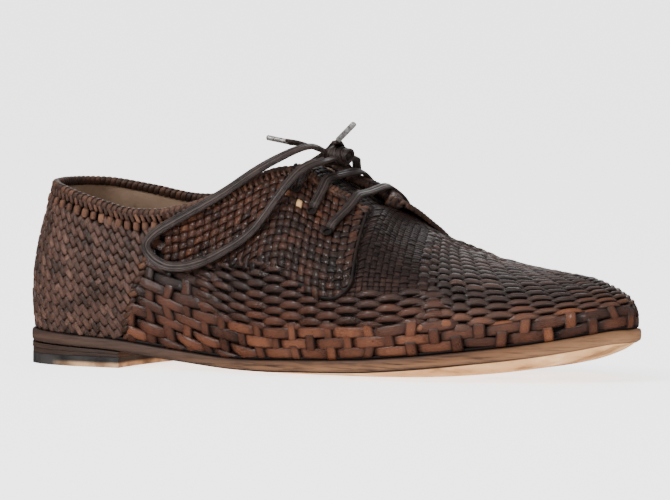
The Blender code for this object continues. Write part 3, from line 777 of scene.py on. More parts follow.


# The upper's wall: leather behind the weave, near-black as painted shade that shows in the gaps between the
# strips, suede lining inside
upperWall = {
    "sunk": 1.3 * mm,
    "tuck": 1.4 * mm,
    "thick": 1.0 * mm,
    "columns": 260,
    "rows": 44,
    # near-black: painted shade in the gaps of the weave, also under the quarters and in the feather cord
    "back": ((9, 6, 5), (16, 10, 8), (24, 15, 12)),
    "lining": ((108, 86, 68), (142, 116, 95), (168, 142, 119)),
}


def makeUpperWall():
    def place(along, climb):
        walk = along * fullWalk
        station, side = stationAt(walk)
        points = onWall(walk, climb * ribLength(station, side), -upperWall["sunk"])
        points[:, 2] -= np.where(climb < weld, upperWall["tuck"], 0)  # the foot goes down into the seat
        return points

    bm = mappedGrid(upperWall["columns"], upperWall["rows"], place)
    shade = plainLeather("gapShadeBacking", upperWall["back"], 0.6)
    suede = plainLeather("liningSuede", upperWall["lining"], 0.85, 45, 900, 0.5, 0.35)
    piece = finishPiece("upperWall", bm, [shade, suede], ("upper",), outward=False)
    thicken(piece, upperWall["thick"], -1, lining=1)


makeUpperWall()
print("upper wall and lining made")


# Weaving: every float of a strip is a small arched sheet whose ends dive under its neighbours
unitStrip = {"along": 8, "levels": (-1, -0.93, -0.6, 0, 0.6, 0.93, 1), "rim": 0.99, "thick": 0.9 * mm}


def unitCell():
    bm = bmesh.new()
    rows = len(unitStrip["levels"]) - 1
    bmesh.ops.create_grid(bm, x_segments=unitStrip["along"], y_segments=rows, size=1)
    bm.verts.ensure_lookup_table()
    points = np.array([v.co[:2] for v in bm.verts])
    points[:, 1] = np.array(unitStrip["levels"])[np.rint((points[:, 1] + 1) / 2 * rows).astype(int)]
    faces = np.array([[v.index for v in face.verts] for face in bm.faces])
    bm.free()
    return points, faces


cellPoints, cellFaces = unitCell()
cellX, cellY = cellPoints[None, :, 0], cellPoints[None, :, 1]  # along a strip and across it, -1 to 1

# What a style may change. Pairs are for strips along the rows and for upright ones, sizes in millimetres.
plainStrip = {
    "surface": onWall,
    "jitter": 0.04, "skew": 0.02, "uneven": 0.08, "waver": 0.0,  # how unevenly it is laid
    "taper": 0.0, "bend": 0.0, "early": 0.0, "stakeShift": 0.0, "crownPower": 3,
    "dipFrom": 0.15, "dipDark": 0.8, "endDark": (1.0, 1.0),  # painted shade where it dives
    "rimFrom": 0.5, "topRim": 1.0, "bothWays": False,  # painted shade along the rims, of upright strips both
    # glow paints a sheen, paler in the middle of each float
    "glow": 0.0,
}
riseSpread = 0.12


def layStrips(cells, place, style):
    # cells: a, b, crossing (1 where the strip runs along b), tone, arch (a factor), lift (millimetres);
    # place() turns a and b into walk and up
    style = {**plainStrip, **style}
    a, b, crossing, tone, arch, lift = (np.asarray(cells[:, k], float)[:, None] for k in range(6))
    x, y, count, upright = cellX, cellY, len(cells), crossing > 0

    def vary(spread):
        return chance.normal(0, spread, (count, 1))

    def byRun(pair):
        return np.where(upright, pair[1], pair[0])

    a = a + vary(style["jitter"]) * 0.5
    b = b + vary(style["jitter"]) * 0.5
    a = a - style["stakeShift"] * crossing
    half = byRun(style["half"]) * (1 + vary(style["jitter"])) * (1 - style["taper"] * x**2)
    skew = vary(style["skew"]) * x
    bend = np.where(upright, 0, style["bend"]) * (1 - x**2)  # a float bowed up in the wall's own plane
    alongShift, acrossShift = x * byRun(style["reach"]), y * half + skew + bend
    av = a + np.where(upright, acrossShift, alongShift)
    bv = b + np.where(upright, alongShift, acrossShift)
    bv = bv + style["waver"] * (np.sin(1.1 * av + 0.8 * bv) + 0.7 * np.sin(0.43 * av - 1.3 * bv + 1.0))
    high = byRun(style["rise"]) * mm * arch * (1 + vary(riseSpread))
    bow = 1 - 2 * easeBetween(style["flat"], 1.0, np.abs(x - style["early"]))
    rounded = style["crown"] * np.abs(y) ** style["crownPower"]
    stand = (style["stand"] + lift - rounded + vary(style["uneven"])) * mm + high * bow
    stand = stand - np.where(np.abs(y) > unitStrip["rim"], unitStrip["thick"], 0)
    points = style["surface"](*place(av, bv), stand)
    # painted shade: darker where a float dives under its neighbours and along its rims, the top rim by
    # topRim, one end more than the other by endDark
    dip = easeBetween(style["dipFrom"], 0.95, np.abs(x)) * style["dipDark"] * bySide(x, *style["endDark"])
    rim = np.where((y < 0) | (upright & (not style["bothWays"])), 1.0, style["topRim"])
    edge = np.maximum(easeBetween(style["rimFrom"], 1.0, np.abs(y)) * 0.85 * rim, dip)
    edge = np.broadcast_to(edge, (count, len(cellPoints)))
    u, v = (at * size + chance.uniform(0, 400, (count, 1)) for at, size in zip((x, y), style["size"]))
    glow = style["glow"] * ((1 - x**2) * (1 - 0.6 * y**2) - 0.45)  # painted sheen: paler in the middle
    return points, np.broadcast_to(tone + glow, edge.shape), edge, np.stack((u, v), axis=-1)


def joinStrips(name, batches, material, nodes=()):
    points, tone, edge, uv = (np.concatenate([batch[k] for batch in batches]) for k in range(4))
    count, each = tone.shape
    faces = (cellFaces[None] + (np.arange(count) * each)[:, None, None]).reshape(-1, 4)
    mesh = bpy.data.meshes.new(name)
    mesh.vertices.add(count * each)
    mesh.vertices.foreach_set("co", points.astype(np.float32).ravel())
    mesh.loops.add(faces.size)
    mesh.loops.foreach_set("vertex_index", faces.astype(np.int32).ravel())
    mesh.polygons.add(len(faces))
    mesh.polygons.foreach_set("loop_start", np.arange(0, faces.size, 4, dtype=np.int32))
    mesh.update(calc_edges=True)
    mesh.validate()
    for label, values in (("tone", tone), ("edge", edge)):
        layer = mesh.attributes.new(label, "FLOAT", "POINT")
        layer.data.foreach_set("value", values.astype(np.float32).ravel())
    layer = mesh.uv_layers.new(name="strips")
    layer.data.foreach_set("uv", uv.reshape(-1, 2)[faces.ravel()].astype(np.float32).ravel())
    return addPiece(name, mesh, [material], nodes)


def makeCells(a, b, crossing, tone, arch=1.0, lift=0.0):
    return np.stack(np.broadcast_arrays(a, b, crossing, tone, arch, lift), axis=1).astype(float)


def lattice(aRange, bRange):
    a, b = np.meshgrid(np.arange(*aRange), np.arange(*bRange), indexing="ij")
    return a.ravel(), b.ravel()


def tones(middle, spread, count):
    return middle + chance.normal(0, spread, count)


# Where the zones meet, as station and distance up the rib in millimetres
sideSeam = {"up": (0, 12, 30, 48, 66), "station": (61, 64.5, 70, 78, 85)}
quarter = {
    "station": (84, 112, 145, 166, 188),
    "low": (0.53, 0.52, 0.43, 0.33, 0.30),
    "front": (188 * mm, 197 * mm),  # lateral, medial
    "lift": (0.5 * mm, 2.6 * mm),
    "liftRise": (0.72, 1.0),
    "liftStation": (160, 184),
    "corner": 13 * mm,
    "cornerRise": 0.13,
    "gap": 0.2 * mm,
    "thick": 0.6 * mm,
    "columns": 64,
    "rows": 32,
}
quarterBack = quarter["station"][0] * mm
vampJoint = 223 * mm
sideTop = 28 * mm
toeLow = 9.6 * mm


def seamWalk(up, side):
    station = np.interp(up / mm, sideSeam["up"], sideSeam["station"]) * mm
    return walkAt(station, side)


def quarterFront(side):
    return bySide(side, *quarter["front"])


def quarterLow(station, side):
    # the lowest and highest rise of a flap
    corner = np.clip((station - quarterFront(side) + quarter["corner"]) / quarter["corner"], 0, 1)
    rounded = quarter["cornerRise"] * (1 - np.sqrt(1 - 0.97 * corner**2))
    return np.interp(station, np.array(quarter["station"]) * mm, quarter["low"]) + rounded, 1 - rounded


def underQuarter(station, side, up, margin):
    length = ribLength(station, side)
    low = quarterLow(station, side)[0]
    inside = (station > quarterBack) & (station < quarterFront(side) - margin)
    return inside & (riseAt(station, side, up / length) > low + margin / length)


def onFlap(walk, up, stand):
    station, side = stationAt(walk)
    lift = bySide(side, *quarter["lift"]) * easeBetween(*quarter["liftStation"], station / mm)
    lift = lift * easeBetween(*quarter["liftRise"], up / ribLength(station, side))
    return onWall(walk, up, stand + lift)


# Heel: diagonal strips from seam to seam
heelWeave = {
    "period": (4.4 * mm, 4.8 * mm),
    "slope": 0.26,
    "turn": 8 * mm,
    "first": 0.5 * mm,
    "seamGap": 1.0 * mm,
    "collarDrop": 9.0 * mm,
    "tone": (0.52, 0.10),
    "uprightDark": 0.05,
    "palette": ((14, 9, 7), (42, 28, 22), (69, 46, 37), (106, 77, 63)),
    "gloss": {
        "rough": 0.42, "specular": 0.38, "coat": 0.0, "coatRough": 0.3, "edgeDark": 1.0, "shadeColour": (8, 5, 4),
    },
    "style": {
        "reach": (1.0, 0.95), "half": (0.5, 0.49), "rise": (1.1, 0.8), "flat": 0.5, "crown": 0.3,
        "stand": -0.1, "size": (4, 2), "jitter": 0.06, "skew": 0.05, "early": -0.25, "glow": 0.2,
        "dipFrom": 0.42, "dipDark": 1.0, "endDark": (0.1, 1.25), "topRim": 0.1, "bothWays": True,
    },
}


def makeHeelWeave():
    wide, high = heelWeave["period"]

    def place(a, b):
        walk = (a + b) * wide / 2
        fall = heelWeave["slope"] * np.hypot(walk, heelWeave["turn"])
        return walk, (b - a) * high / 2 + heelWeave["first"] - fall

    a, b = lattice((-60, 61), (-60, 80))
    walk, up = place(a, b)
    foot = np.clip(up, 0, 1)
    outer = walk < seamWalk(foot, lateral) - heelWeave["seamGap"]
    inner = walk > seamWalk(foot, medial) - fullWalk + heelWeave["seamGap"]
    below = up < ribLength(*stationAt(walk)) - heelWeave["collarDrop"]
    keep = outer & inner & below & (up > -0.5 * mm)
    a, b = a[keep], b[keep]
    crossing = (a + b) % 2
    tone = tones(*heelWeave["tone"], len(a)) - heelWeave["uprightDark"] * crossing
    material = stripLeather("heelStrips", heelWeave["palette"], heelWeave["gloss"])
    strips = layStrips(makeCells(a, b, crossing, tone), place, heelWeave["style"])
    joinStrips("heelWeave", [strips], material)
    return len(a)


print("heel woven:", makeHeelWeave(), "floats")


# Side: long floats in rows along the sole over upright strips
sideWeave = {
    "stake": 10.1 * mm,
    "stakes": 71,
    "row": 4.7 * mm,
    "first": 2.9 * mm,
    "rows": 10,
    "lowRows": 3,  # these go on to the toe
    "waist": 112 * mm,
    "slope": {"from": 140 * mm, "grade": 0.2, "ease": 18 * mm},  # the rows climb towards the heel
    "scaleLow": 15.6 * mm,
    "drawnIn": 0.08,  # what is left of a float past the seam
    "pastSeam": 0.036,
    "forward": last["throat"] - 14 * mm,
    "jointLap": 4 * mm,
    "collarDrop": 10 * mm,
    "palette": ((14, 8, 6), (34, 19, 13), (59, 32, 21), (89, 50, 31), (128, 77, 46)),
    "gloss": {
        "rough": 0.34, "specular": 0.36, "coat": 0.14, "coatRough": 0.14, "edgeDark": 0.98,
        "shadeColour": (7, 4, 3),
    },
    "style": {
        "reach": (1.0, 1.02), "half": (0.545, 0.265), "rise": (0.7, 0.62), "flat": 0.66, "crown": 0.3,
        "stand": 0.0, "size": (16, 4), "jitter": 0.06, "skew": 0.09, "taper": 0.12, "waver": 0.07,
        "uneven": 0.13, "glow": 0.25, "dipFrom": 0.5, "dipDark": 0.95, "rimFrom": 0.72, "early": 0.12,
        "stakeShift": 0.05, "endDark": (1.2, 0.5), "topRim": 0.5,
    },
    "leaf": {"half": (0.56, 0.3), "taper": 0.5, "bend": -0.22, "crown": 0.7, "flat": 0.3, "skew": 0.12},
    "leafTop": 9 * mm,
    "leafFront": 15 * mm,
}

# Scales: rows that overlap, their upright strips hidden
toeWeave = {
    "rows": 28,
    "tuckedRow": -0.5,
    "palette": ((15, 9, 8), (41, 28, 23), (69, 46, 37), (110, 63, 37)),
    "gloss": {
        "rough": 0.36, "specular": 0.33, "coat": 0.14, "coatRough": 0.16, "edgeDark": 0.94,
        "shadeColour": (9, 6, 5),
    },
    "style": {
        "reach": (1.0, 1.0), "half": (0.80, 0.3), "rise": (1.15, 0.0), "flat": 0.25, "crown": 0.7,
        "stand": 0.0, "size": (14, 4), "skew": 0.06, "taper": 0.45, "crownPower": 2.4, "waver": 0.05,
        "bend": 0.85, "topRim": 0.0, "dipDark": 0.6, "glow": 0.2,
    },
    "joint": {"half": (0.62, 0.3), "bend": 0.5, "rise": (0.8, 0.0)},
}


def scalePlace(place):
    # rows twice as close as the side's, for floats that overlap like scales
    low = (sideWeave["scaleLow"] - sideWeave["first"]) / sideWeave["row"]
    return lambda a, b: place(a, low + b / 2)


def scaleCells(place):
    a, b = lattice((-1, sideWeave["stakes"]), (-1, 12))
    walk, up = scalePlace(place)(a, b)
    station, side = stationAt(walk)
    keep = ((a + b) % 2 == 0) & ~underQuarter(station, side, up, 2.5 * mm)
    keep &= (station > sideWeave["waist"] - 9 * mm) & (station < vampJoint + sideWeave["jointLap"])
    keep &= (station <= sideWeave["forward"]) | (up <= sideTop + 1 * mm)
    a, b, up = a[keep], b[keep], up[keep]
    tone = 0.44 - 0.16 * easeBetween(16, 28, up / mm) + tones(0, 0.06, len(a))
    return makeCells(a, b, 0, tone, 1.0, np.where(b < 0, toeWeave["tuckedRow"], 0))


def makeSideWeave():
    first = seamWalk(0.0, lateral)
    slope = sideWeave["slope"]
    level = [walkAt(slope["from"], side) for side in bothSides]

    def place(a, b):
        walk, up = first + (a + 0.5) * sideWeave["stake"], sideWeave["first"] + b * sideWeave["row"]
        behind = np.maximum(np.maximum(level[0] - walk, walk - level[1]), 0)
        up = up + slope["grade"] * behind**2 / (behind + slope["ease"])
        start, end = (seamWalk(up, side) for side in bothSides)
        within = np.clip(walk, start, end)
        return within + (walk - within) * sideWeave["drawnIn"], up

    a, b = lattice((-1, sideWeave["stakes"]), (-6, sideWeave["rows"]))
    walk, up = place(a, b)
    station, side = stationAt(walk)
    lap = sideWeave["pastSeam"] * sideWeave["stake"]
    keep = (walk > seamWalk(up, lateral) - lap) & (walk < seamWalk(up, medial) + lap)
    keep &= (up > -1.0 * mm) & ~underQuarter(station, side, up, 3 * mm)
    keep &= (station <= sideWeave["forward"]) | (up <= sideTop - 1 * mm)
    keep &= (station <= vampJoint + sideWeave["jointLap"]) | (up <= toeLow)
    keep &= up < ribLength(station, side) - sideWeave["collarDrop"]
    keep &= (b < sideWeave["lowRows"]) | (station < sideWeave["waist"])
    a, b, up, station = a[keep], b[keep], up[keep], station[keep]
    crossing = (a + b) % 2
    tone = 0.6 - 0.26 * easeBetween(12, 32, up / mm) + tones(0, 0.1, len(a))
    tone += 0.2 * easeBetween(205, 250, station / mm) * crossing - 0.05 * crossing
    tone -= 0.2 * easeBetween(205, 245, station / mm) + 0.12 * easeBetween(150, 90, station / mm)
    front = easeBetween(200, 240, station / mm)  # towards the toe the upright strips stand proud
    arch = 1 + front * np.where(crossing > 0, 0.75, -0.25)
    cells = makeCells(a, b, crossing, tone, arch)
    # loose floats like leaves above the waist of the sole
    loose = (up < sideWeave["leafTop"]) & (station < sideWeave["waist"] + sideWeave["leafFront"])
    batches = [
        layStrips(cells[~loose], place, sideWeave["style"]),
        layStrips(cells[loose], place, {**sideWeave["style"], **sideWeave["leaf"]}),
    ]
    scales = scaleCells(place)
    batches.append(layStrips(scales, scalePlace(place), toeWeave["style"]))
    material = stripLeather("sideStrips", sideWeave["palette"], sideWeave["gloss"])
    joinStrips("sideWeave", batches, material)
    return len(a) + len(scales)


print("sides woven:", makeSideWeave(), "floats")


# Toe: the scales turn round the toe on the side's own upright strips, which stand closer together where
# the rows come out of the fine weave
toeEdges = [walkAt(vampJoint, side) + side * sideWeave["jointLap"] for side in bothSides]
toeStakes = seamWalk(0.0, lateral) + (np.arange(70) + 0.5) * sideWeave["stake"]
toeStakes = toeStakes[(toeStakes > toeEdges[0]) & (toeStakes < toeEdges[1])]
closeSteps = np.array((-0.5, 0.0, 0.55, 1.2))
evenSteps = np.arange(2, len(toeStakes) - 2)
toeSteps = (-1.0, *closeSteps, *evenSteps, *(len(toeStakes) - 1 - closeSteps[::-1]), len(toeStakes))


def toeChart():
    # walk at each share of a row's own length, so that the floats of all rows stay in step
    fine = np.linspace(toeStakes[0] - sideWeave["stake"], toeStakes[-1] + sideWeave["stake"], 280)
    length = ribLength(*stationAt(fine))
    table = []
    for height in np.linspace(0, 1, 25):
        run = runAlong(onWall(fine, toeLow + height * (length - toeLow) * 0.985, 0.0))
        table.append(np.interp(np.linspace(0, 1, 121), run / run[-1], fine))
    return np.array(table)


toeTable = toeChart()


def toePlace(a, b):
    height = (b + 0.5) / toeWeave["rows"]
    share = (np.interp(a, np.arange(-1, len(toeSteps) - 1), toeSteps) + 1) / (len(toeStakes) + 1)
    walk = between(toeTable, height * (len(toeTable) - 1), share * (toeTable.shape[1] - 1))
    return walk, toeLow + height * (ribLength(*stationAt(walk)) - toeLow)


def makeToeWeave():
    a, b = lattice((0, len(toeSteps) - 2), (-1, toeWeave["rows"]))
    over = (a + b) % 2 == 0
    a, b = a[over], b[over]
    up = toePlace(a, b)[1]
    tone = 0.38 + 0.34 * easeBetween(22, 10, up / mm) + tones(0, 0.09, len(a))
    cells = makeCells(a, b, 0, tone, 1.0, np.where(b < 0, toeWeave["tuckedRow"], 0))
    material = stripLeather("toeStrips", toeWeave["palette"], toeWeave["gloss"])
    near = (a < 2) | (a > len(toeSteps) - 5)  # small floats beside the fine weave
    batches = [
        layStrips(cells[~near], toePlace, toeWeave["style"]),
        layStrips(cells[near], toePlace, {**toeWeave["style"], **toeWeave["joint"]}),
    ]
    joinStrips("toeWeave", batches, material)
    return len(a)


print("toe woven:", makeToeWeave(), "floats")


# Vamp: fine close weave between the quarters and the toe
vampWeave = {
    "column": 2.8 * mm,
    "row": 2.4 * mm,
    "start": 174 * mm,
    "lap": 3 * mm,
    "widen": 0.9,  # towards the toe
    "underFlap": 8 * mm,
    "tone": (0.42, 0.10),
    "palette": ((15, 9, 8), (30, 19, 16), (45, 29, 24), (72, 48, 39)),
    "gloss": {
        "rough": 0.42, "specular": 0.14, "coat": 0.03, "coatRough": 0.3, "edgeDark": 0.85, "shadeColour": (9, 6, 5),
    },
    "style": {
        "reach": (0.95, 0.95), "half": (0.48, 0.48), "rise": (0.38, 0.30), "flat": 0.2, "crown": 0.15,
        "stand": 0.0, "size": (4, 2), "jitter": 0.05, "skew": 0.03,
    },
}
vampMaterial = stripLeather("vampStrips", vampWeave["palette"], vampWeave["gloss"])


def vampColumns():
    stations = [vampWeave["start"]]
    while stations[-1] < vampJoint + vampWeave["lap"]:
        widen = 1 + vampWeave["widen"] * easeBetween(198, 224, stations[-1] / mm)
        stations.append(stations[-1] + vampWeave["column"] * widen)
    return np.array(stations)


def makeVampWeave():
    columns = vampColumns()
    batches = []
    for side in bothSides:
        rows = round((float(ribLength(last["throat"], side)) - sideTop) / vampWeave["row"])

        def place(a, b):
            station = np.interp(a, np.arange(len(columns)), columns)
            return walkAt(station, side), sideTop + (b + 0.5) / rows * (ribLength(station, side) - sideTop)

        a, b = lattice((0, len(columns)), (0, rows))
        tone = tones(*vampWeave["tone"], len(a)) + 0.16 * easeBetween(6, 0, b)
        station, up = columns[a], place(a, b)[1]
        keep = ~underQuarter(station, side, up, vampWeave["underFlap"])
        keep |= station > last["throat"] - 1 * mm
        cells = makeCells(a, b, (a + b) % 2, tone)[keep]
        batches.append(layStrips(cells, place, vampWeave["style"]))
    joinStrips("vampWeave", batches, vampMaterial)
    return sum(len(batch[0]) for batch in batches)


print("vamp woven:", makeVampWeave(), "floats")


# Quarters: a shell over the vamp with glossy pillowed weave
quarterWeave = {
    "column": 4.0 * mm,
    "row": 3.9 * mm,
    "first": (0.3, 0.75),  # columns from the back, rows below the top edge
    "count": (30, 17),
    "hole": {"stand": 1.5 * mm, "clear": 2.0 * mm},
    "bare": {"at": (153, 18.7), "tone": 1.4},  # station and distance below the edge of the one pale float
    "palette": ((16, 9, 6), (35, 19, 13), (57, 31, 20), (94, 54, 33), (205, 160, 110)),
    "gloss": {
        "rough": 0.33, "specular": 0.2, "coat": 0.16, "coatRough": 0.1, "edgeDark": 0.95, "shadeColour": (7, 4, 3),
    },
    "style": {
        "reach": (0.95, 0.95), "half": (0.47, 0.47), "rise": (0.6, 0.55), "flat": 0.1, "crown": 0.40,
        "stand": 1.45, "size": (5, 2), "jitter": 0.06, "skew": 0.04, "taper": 0.1, "surface": onFlap,
    },
}


def flapStations(side, share):
    # closer together towards the front
    return quarterBack + (quarterFront(side) - quarterBack) * (1 - (1 - share) ** 1.5)


def upTo(station, side, rise):
    return shareAt(station, side, rise) * ribLength(station, side)


def makeQuarter(name, side, node):
    def place(along, climb):
        station = flapStations(side, along)
        low, high = quarterLow(station, side)
        up = upTo(station, side, low + (high - low) * climb)
        return onFlap(walkAt(station, side), up, quarter["gap"])

    bm = mappedGrid(quarter["columns"], quarter["rows"], place)
    if side > 0:
        bmesh.ops.reverse_faces(bm, faces=bm.faces)
    # the shell's near-black backing is painted shade under the flap, seen through the gaps of its weave
    backing = plainLeather(name + "Backing", upperWall["back"], 0.5)
    piece = finishPiece(name + "Shell", bm, [backing], (node,), outward=False)
    thicken(piece, quarter["thick"], 1)


def makeQuarterWeave(name, side, material):
    def spread(a, b):
        columns, rows = a + quarterWeave["first"][0], b + quarterWeave["first"][1]
        return quarterBack + columns * quarterWeave["column"], rows * quarterWeave["row"]

    def place(a, b):
        station, down = spread(a, b)
        return walkAt(station, side), ribLength(station, side) - down

    a, b = lattice(*((0, count) for count in quarterWeave["count"]))
    walk, up = place(a, b)
    station, down = spread(a, b)
    length = ribLength(station, side)
    rise = riseAt(station, side, up / length)
    low, high = quarterLow(station, side)
    keep = (rise > low + 0.015) & (rise < high) & (station < quarterFront(side) - 1 * mm)
    hole, bare = quarterWeave["hole"], quarterWeave["bare"]
    spots = onWall(walk, up, hole["stand"])
    for eyeStation, eyeRise, _ in lace["eyelets"]:
        at = np.array([eyeStation * mm])
        middle = onWall(walkAt(at, side), upTo(at, side, eyeRise), hole["stand"])
        keep &= np.linalg.norm(spots - middle, axis=-1) > hole["clear"]
    tone = 0.47 + np.clip(tones(0, 0.09, len(a)), -0.2, 0.2) - 0.2 * easeBetween(14, 38, down / mm)
    if side < 0:
        tone[np.argmin(np.hypot(station / mm - bare["at"][0], down / mm - bare["at"][1]))] = bare["tone"]
    arch = 1 - 0.4 * easeBetween(5, 10, b)
    lift = -0.35 * easeBetween(9, 1, (rise - low) * length / mm)
    cells = makeCells(a, b, (a + b) % 2, tone, arch, lift)[keep]
    strips = layStrips(cells, place, quarterWeave["style"])
    joinStrips(name + "Weave", [strips], material)
    return len(cells)


quarterMaterial = stripLeather("quarterStrips", quarterWeave["palette"], quarterWeave["gloss"])
quarterNodes = {"quarterLateral": "quarter_lateral", "quarterMedial": "quarter_medial"}
for (name, node), side in zip(quarterNodes.items(), bothSides):
    makeQuarter(name, side, node)
    print(name, "woven:", makeQuarterWeave(name, side, quarterMaterial), "floats")


# Knobs are small domes of leather where a strip goes over an edge or a seam, wraps are wound round an edge
def strewn(x, y, count):
    return np.stack(np.broadcast_arrays(x + chance.uniform(0, 300, (count, 1)), y), axis=-1)


def layKnobs(walk, up, stand, style, tone):
    # long and wide in millimetres, turned by an angle from the line of the sole
    x, y, count = cellX, cellY, len(walk)
    grow = 1 + chance.normal(0, 0.07, (count, 1))
    angle = style["angle"] + chance.normal(0, 0.06, (count, 1))
    right = x * style["long"] * grow
    forward = y * style["wide"] * grow * (1 - style["round"] * np.abs(x) ** 3)
    shiftWalk = (right * np.cos(angle) - forward * np.sin(angle)) * mm
    shiftUp = (right * np.sin(angle) + forward * np.cos(angle)) * mm
    dome = (1 - np.abs(y) ** 2.5) * (1 - x**4)
    high = np.reshape(stand, (-1, 1)) + (style["high"] * dome * grow - 0.5 * (1 - dome) ** 4) * mm
    points = style.get("surface", onWall)(walk[:, None] + shiftWalk, up[:, None] + shiftUp, high)
    # painted shade round the foot of each knob
    edge = np.broadcast_to(easeBetween(0.55, 1.0, 1 - dome), high.shape)
    uv = strewn(x * style["long"], y * style["wide"], count)
    return points, np.broadcast_to(tone[:, None], edge.shape), edge, uv


def moveCells(points, *moves):
    # a unit cell at each point, carried along pairs of an axis and a distance
    points = points[:, None]
    for axis, distance in moves:
        points = points + axis[:, None] * distance[..., None]
    return points


def finishWraps(points, dark, tone):
    dark = np.broadcast_to(dark, points.shape[:2])
    tone = np.broadcast_to(tones(tone, 0.12, len(points))[:, None], dark.shape)
    return points, tone, dark, strewn(cellX * 4, cellY * 1.5, len(points))


def layWraps(points, outs, style):
    x, y = cellX, cellY
    tangent = unit(np.gradient(points, axis=0))
    across = unit(np.cross(tangent, outs))
    outs = np.cross(across, tangent)
    turn = x * style["turn"]
    swell = style["high"] * (1 - y**2) - style["rim"] * (np.abs(y) > unitStrip["rim"])
    radius = (style["radius"] + swell) * mm
    along = (y * style["half"] + x * style["slant"]) * mm
    moves = (outs, np.cos(turn) * radius), (across, np.sin(turn) * radius), (tangent, along)
    # painted shade along the rims of each wrap
    return finishWraps(moveCells(points, *moves), easeBetween(0.6, 1, np.abs(y)), style["tone"])


# Collar: strips wound over the top edge, a row of leaves below them and knobs round the heel
collar = {
    "endStation": 147 * mm,
    "wrap": {
        "pitch": 2.7 * mm, "half": 1.55 * mm, "slant": 1.3 * mm, "over": 0.55, "tone": 0.42,
        "outer": 0.4 * mm, "inner": 2.6 * mm, "high": 1.1 * mm, "sunk": 0.7 * mm, "tail": 2.2 * mm,
        "swell": 0.55 * mm, "rim": 0.5 * mm,
    },
    "palette": ((28, 18, 14), (57, 37, 28), (84, 55, 41), (120, 84, 62)),
    "gloss": {
        "rough": 0.45, "specular": 0.25, "coat": 0.05, "coatRough": 0.3, "edgeDark": 0.9, "shadeColour": (10, 6, 5),
    },
    "leaf": {"long": 2.3, "wide": 1.15, "round": 0.35, "high": 0.7, "angle": 2.1},
    "leafDown": 3.6 * mm,
    "leafStand": 0.2 * mm,
    "leafTone": (0.38, 0.12),
    "knob": {"long": 2.3, "wide": 2.0, "round": 0.3, "high": 1.3, "angle": math.pi / 2},
    "knobPitch": 4.4 * mm,
    "knobDown": 7.3 * mm,
    "knobTone": (0.62, 0.12),
    "overQuarter": 1.7 * mm,
}
collarMaterial = stripLeather("collarStrips", collar["palette"], collar["gloss"])


def collarWalks(pitch, station):
    # evenly spaced along the top edge, from a station on the lateral side round the heel to the medial side
    fine = np.linspace(walkAt(station, lateral), walkAt(station, medial) - fullWalk, 800)
    run = runAlong(onWall(fine, ribLength(*stationAt(fine)), 0.0))
    return np.interp(np.arange(pitch / 2, run[-1], pitch), run, fine)


def standOnQuarter(walk):
    ahead = (stationAt(walk)[0] - quarterBack) / mm
    return collar["overQuarter"] * easeBetween(-2, 2, ahead)


def collarWraps(walk, length):
    wrap, x, y = collar["wrap"], cellX, cellY
    edge, low = onWall(walk, length, 0.0), length - 0.5 * mm
    out = (onWall(walk, low, mm) - onWall(walk, low, 0.0)) / mm
    climb = unit(edge - onWall(walk, length - 1 * mm, 0.0))
    turn = np.clip(x / wrap["over"], -1, 1) * np.pi / 2
    below = np.clip((np.abs(x) - wrap["over"]) / (1 - wrap["over"]), 0, 1)
    outer = standOnQuarter(walk)[:, None] + wrap["outer"]
    middle, half = (outer - wrap["inner"]) / 2, (outer + wrap["inner"]) / 2
    swell = (wrap["swell"] * (1 - y**2) - wrap["rim"] * (np.abs(y) > unitStrip["rim"])) * (1 - 0.6 * below)
    sideways = middle - np.sin(turn) * (half + swell)
    upwards = np.cos(turn) * (wrap["high"] + swell) - wrap["sunk"] - below * wrap["tail"]
    lengthways = y * wrap["half"] + x * wrap["slant"]
    points = moveCells(edge, (out, sideways), (climb, upwards), (np.cross(climb, out), lengthways))
    # painted shade on the rims and on the tail tucked under the edge
    return finishWraps(points, np.maximum(easeBetween(0.6, 1, np.abs(y)), below * 0.8), wrap["tone"])


def makeCollar():
    walk = collarWalks(collar["wrap"]["pitch"], collar["endStation"])
    length = ribLength(*stationAt(walk))
    batches = [collarWraps(walk, length)]
    stand, tone = standOnQuarter(walk) + collar["leafStand"], tones(*collar["leafTone"], len(walk))
    batches.append(layKnobs(walk, length - collar["leafDown"], stand, collar["leaf"], tone))
    low = collarWalks(collar["knobPitch"], quarterBack)
    up, tone = ribLength(*stationAt(low)) - collar["knobDown"], tones(*collar["knobTone"], len(low))
    batches.append(layKnobs(low, up, 0.0, collar["knob"], tone))
    joinStrips("collarBraid", batches, collarMaterial, ("collar_band",))
    return len(walk)


print("collar braided:", makeCollar(), "wraps")


# Knobs up the side seams
seamKnobs = {
    "pitch": 3.3 * mm,
    "first": 2 * mm,
    "collarDrop": 8.5 * mm,
    "stand": 0.1 * mm,
    "stray": 0.5,
    "tone": (0.34, 0.18),
    "palette": ((30, 18, 13), (62, 38, 26), (92, 60, 40), (124, 86, 60)),
    "gloss": {
        "rough": 0.4, "specular": 0.25, "coat": 0.1, "coatRough": 0.25, "edgeDark": 0.9, "shadeColour": (12, 7, 6),
    },
    "shape": {"long": 2.6, "wide": 1.45, "round": 0.4, "high": 1.0},
    "angle": 0.6,
}


def makeSeamKnobs():
    batches = []
    for side in bothSides:
        top = float(ribLength(quarterBack, side)) - seamKnobs["collarDrop"]
        up = np.arange(seamKnobs["first"], top, seamKnobs["pitch"])
        walk = seamWalk(up, side) + tones(0, seamKnobs["stray"], len(up)) * mm
        shape = {**seamKnobs["shape"], "angle": -side * seamKnobs["angle"]}
        tone = tones(*seamKnobs["tone"], len(up))
        batches.append(layKnobs(walk, up, seamKnobs["stand"], shape, tone))
    material = stripLeather("seamStrips", seamKnobs["palette"], seamKnobs["gloss"])
    joinStrips("seamKnobs", batches, material)


makeSeamKnobs()
print("side seams laced")


# A near-black cord in the corner between the upper and the sole: painted shade where the upper meets the
# sole
featherShadeCord = {"up": 0.3 * mm, "stand": -0.2 * mm, "width": 1.8 * mm, "thick": 1.5 * mm, "points": 421}


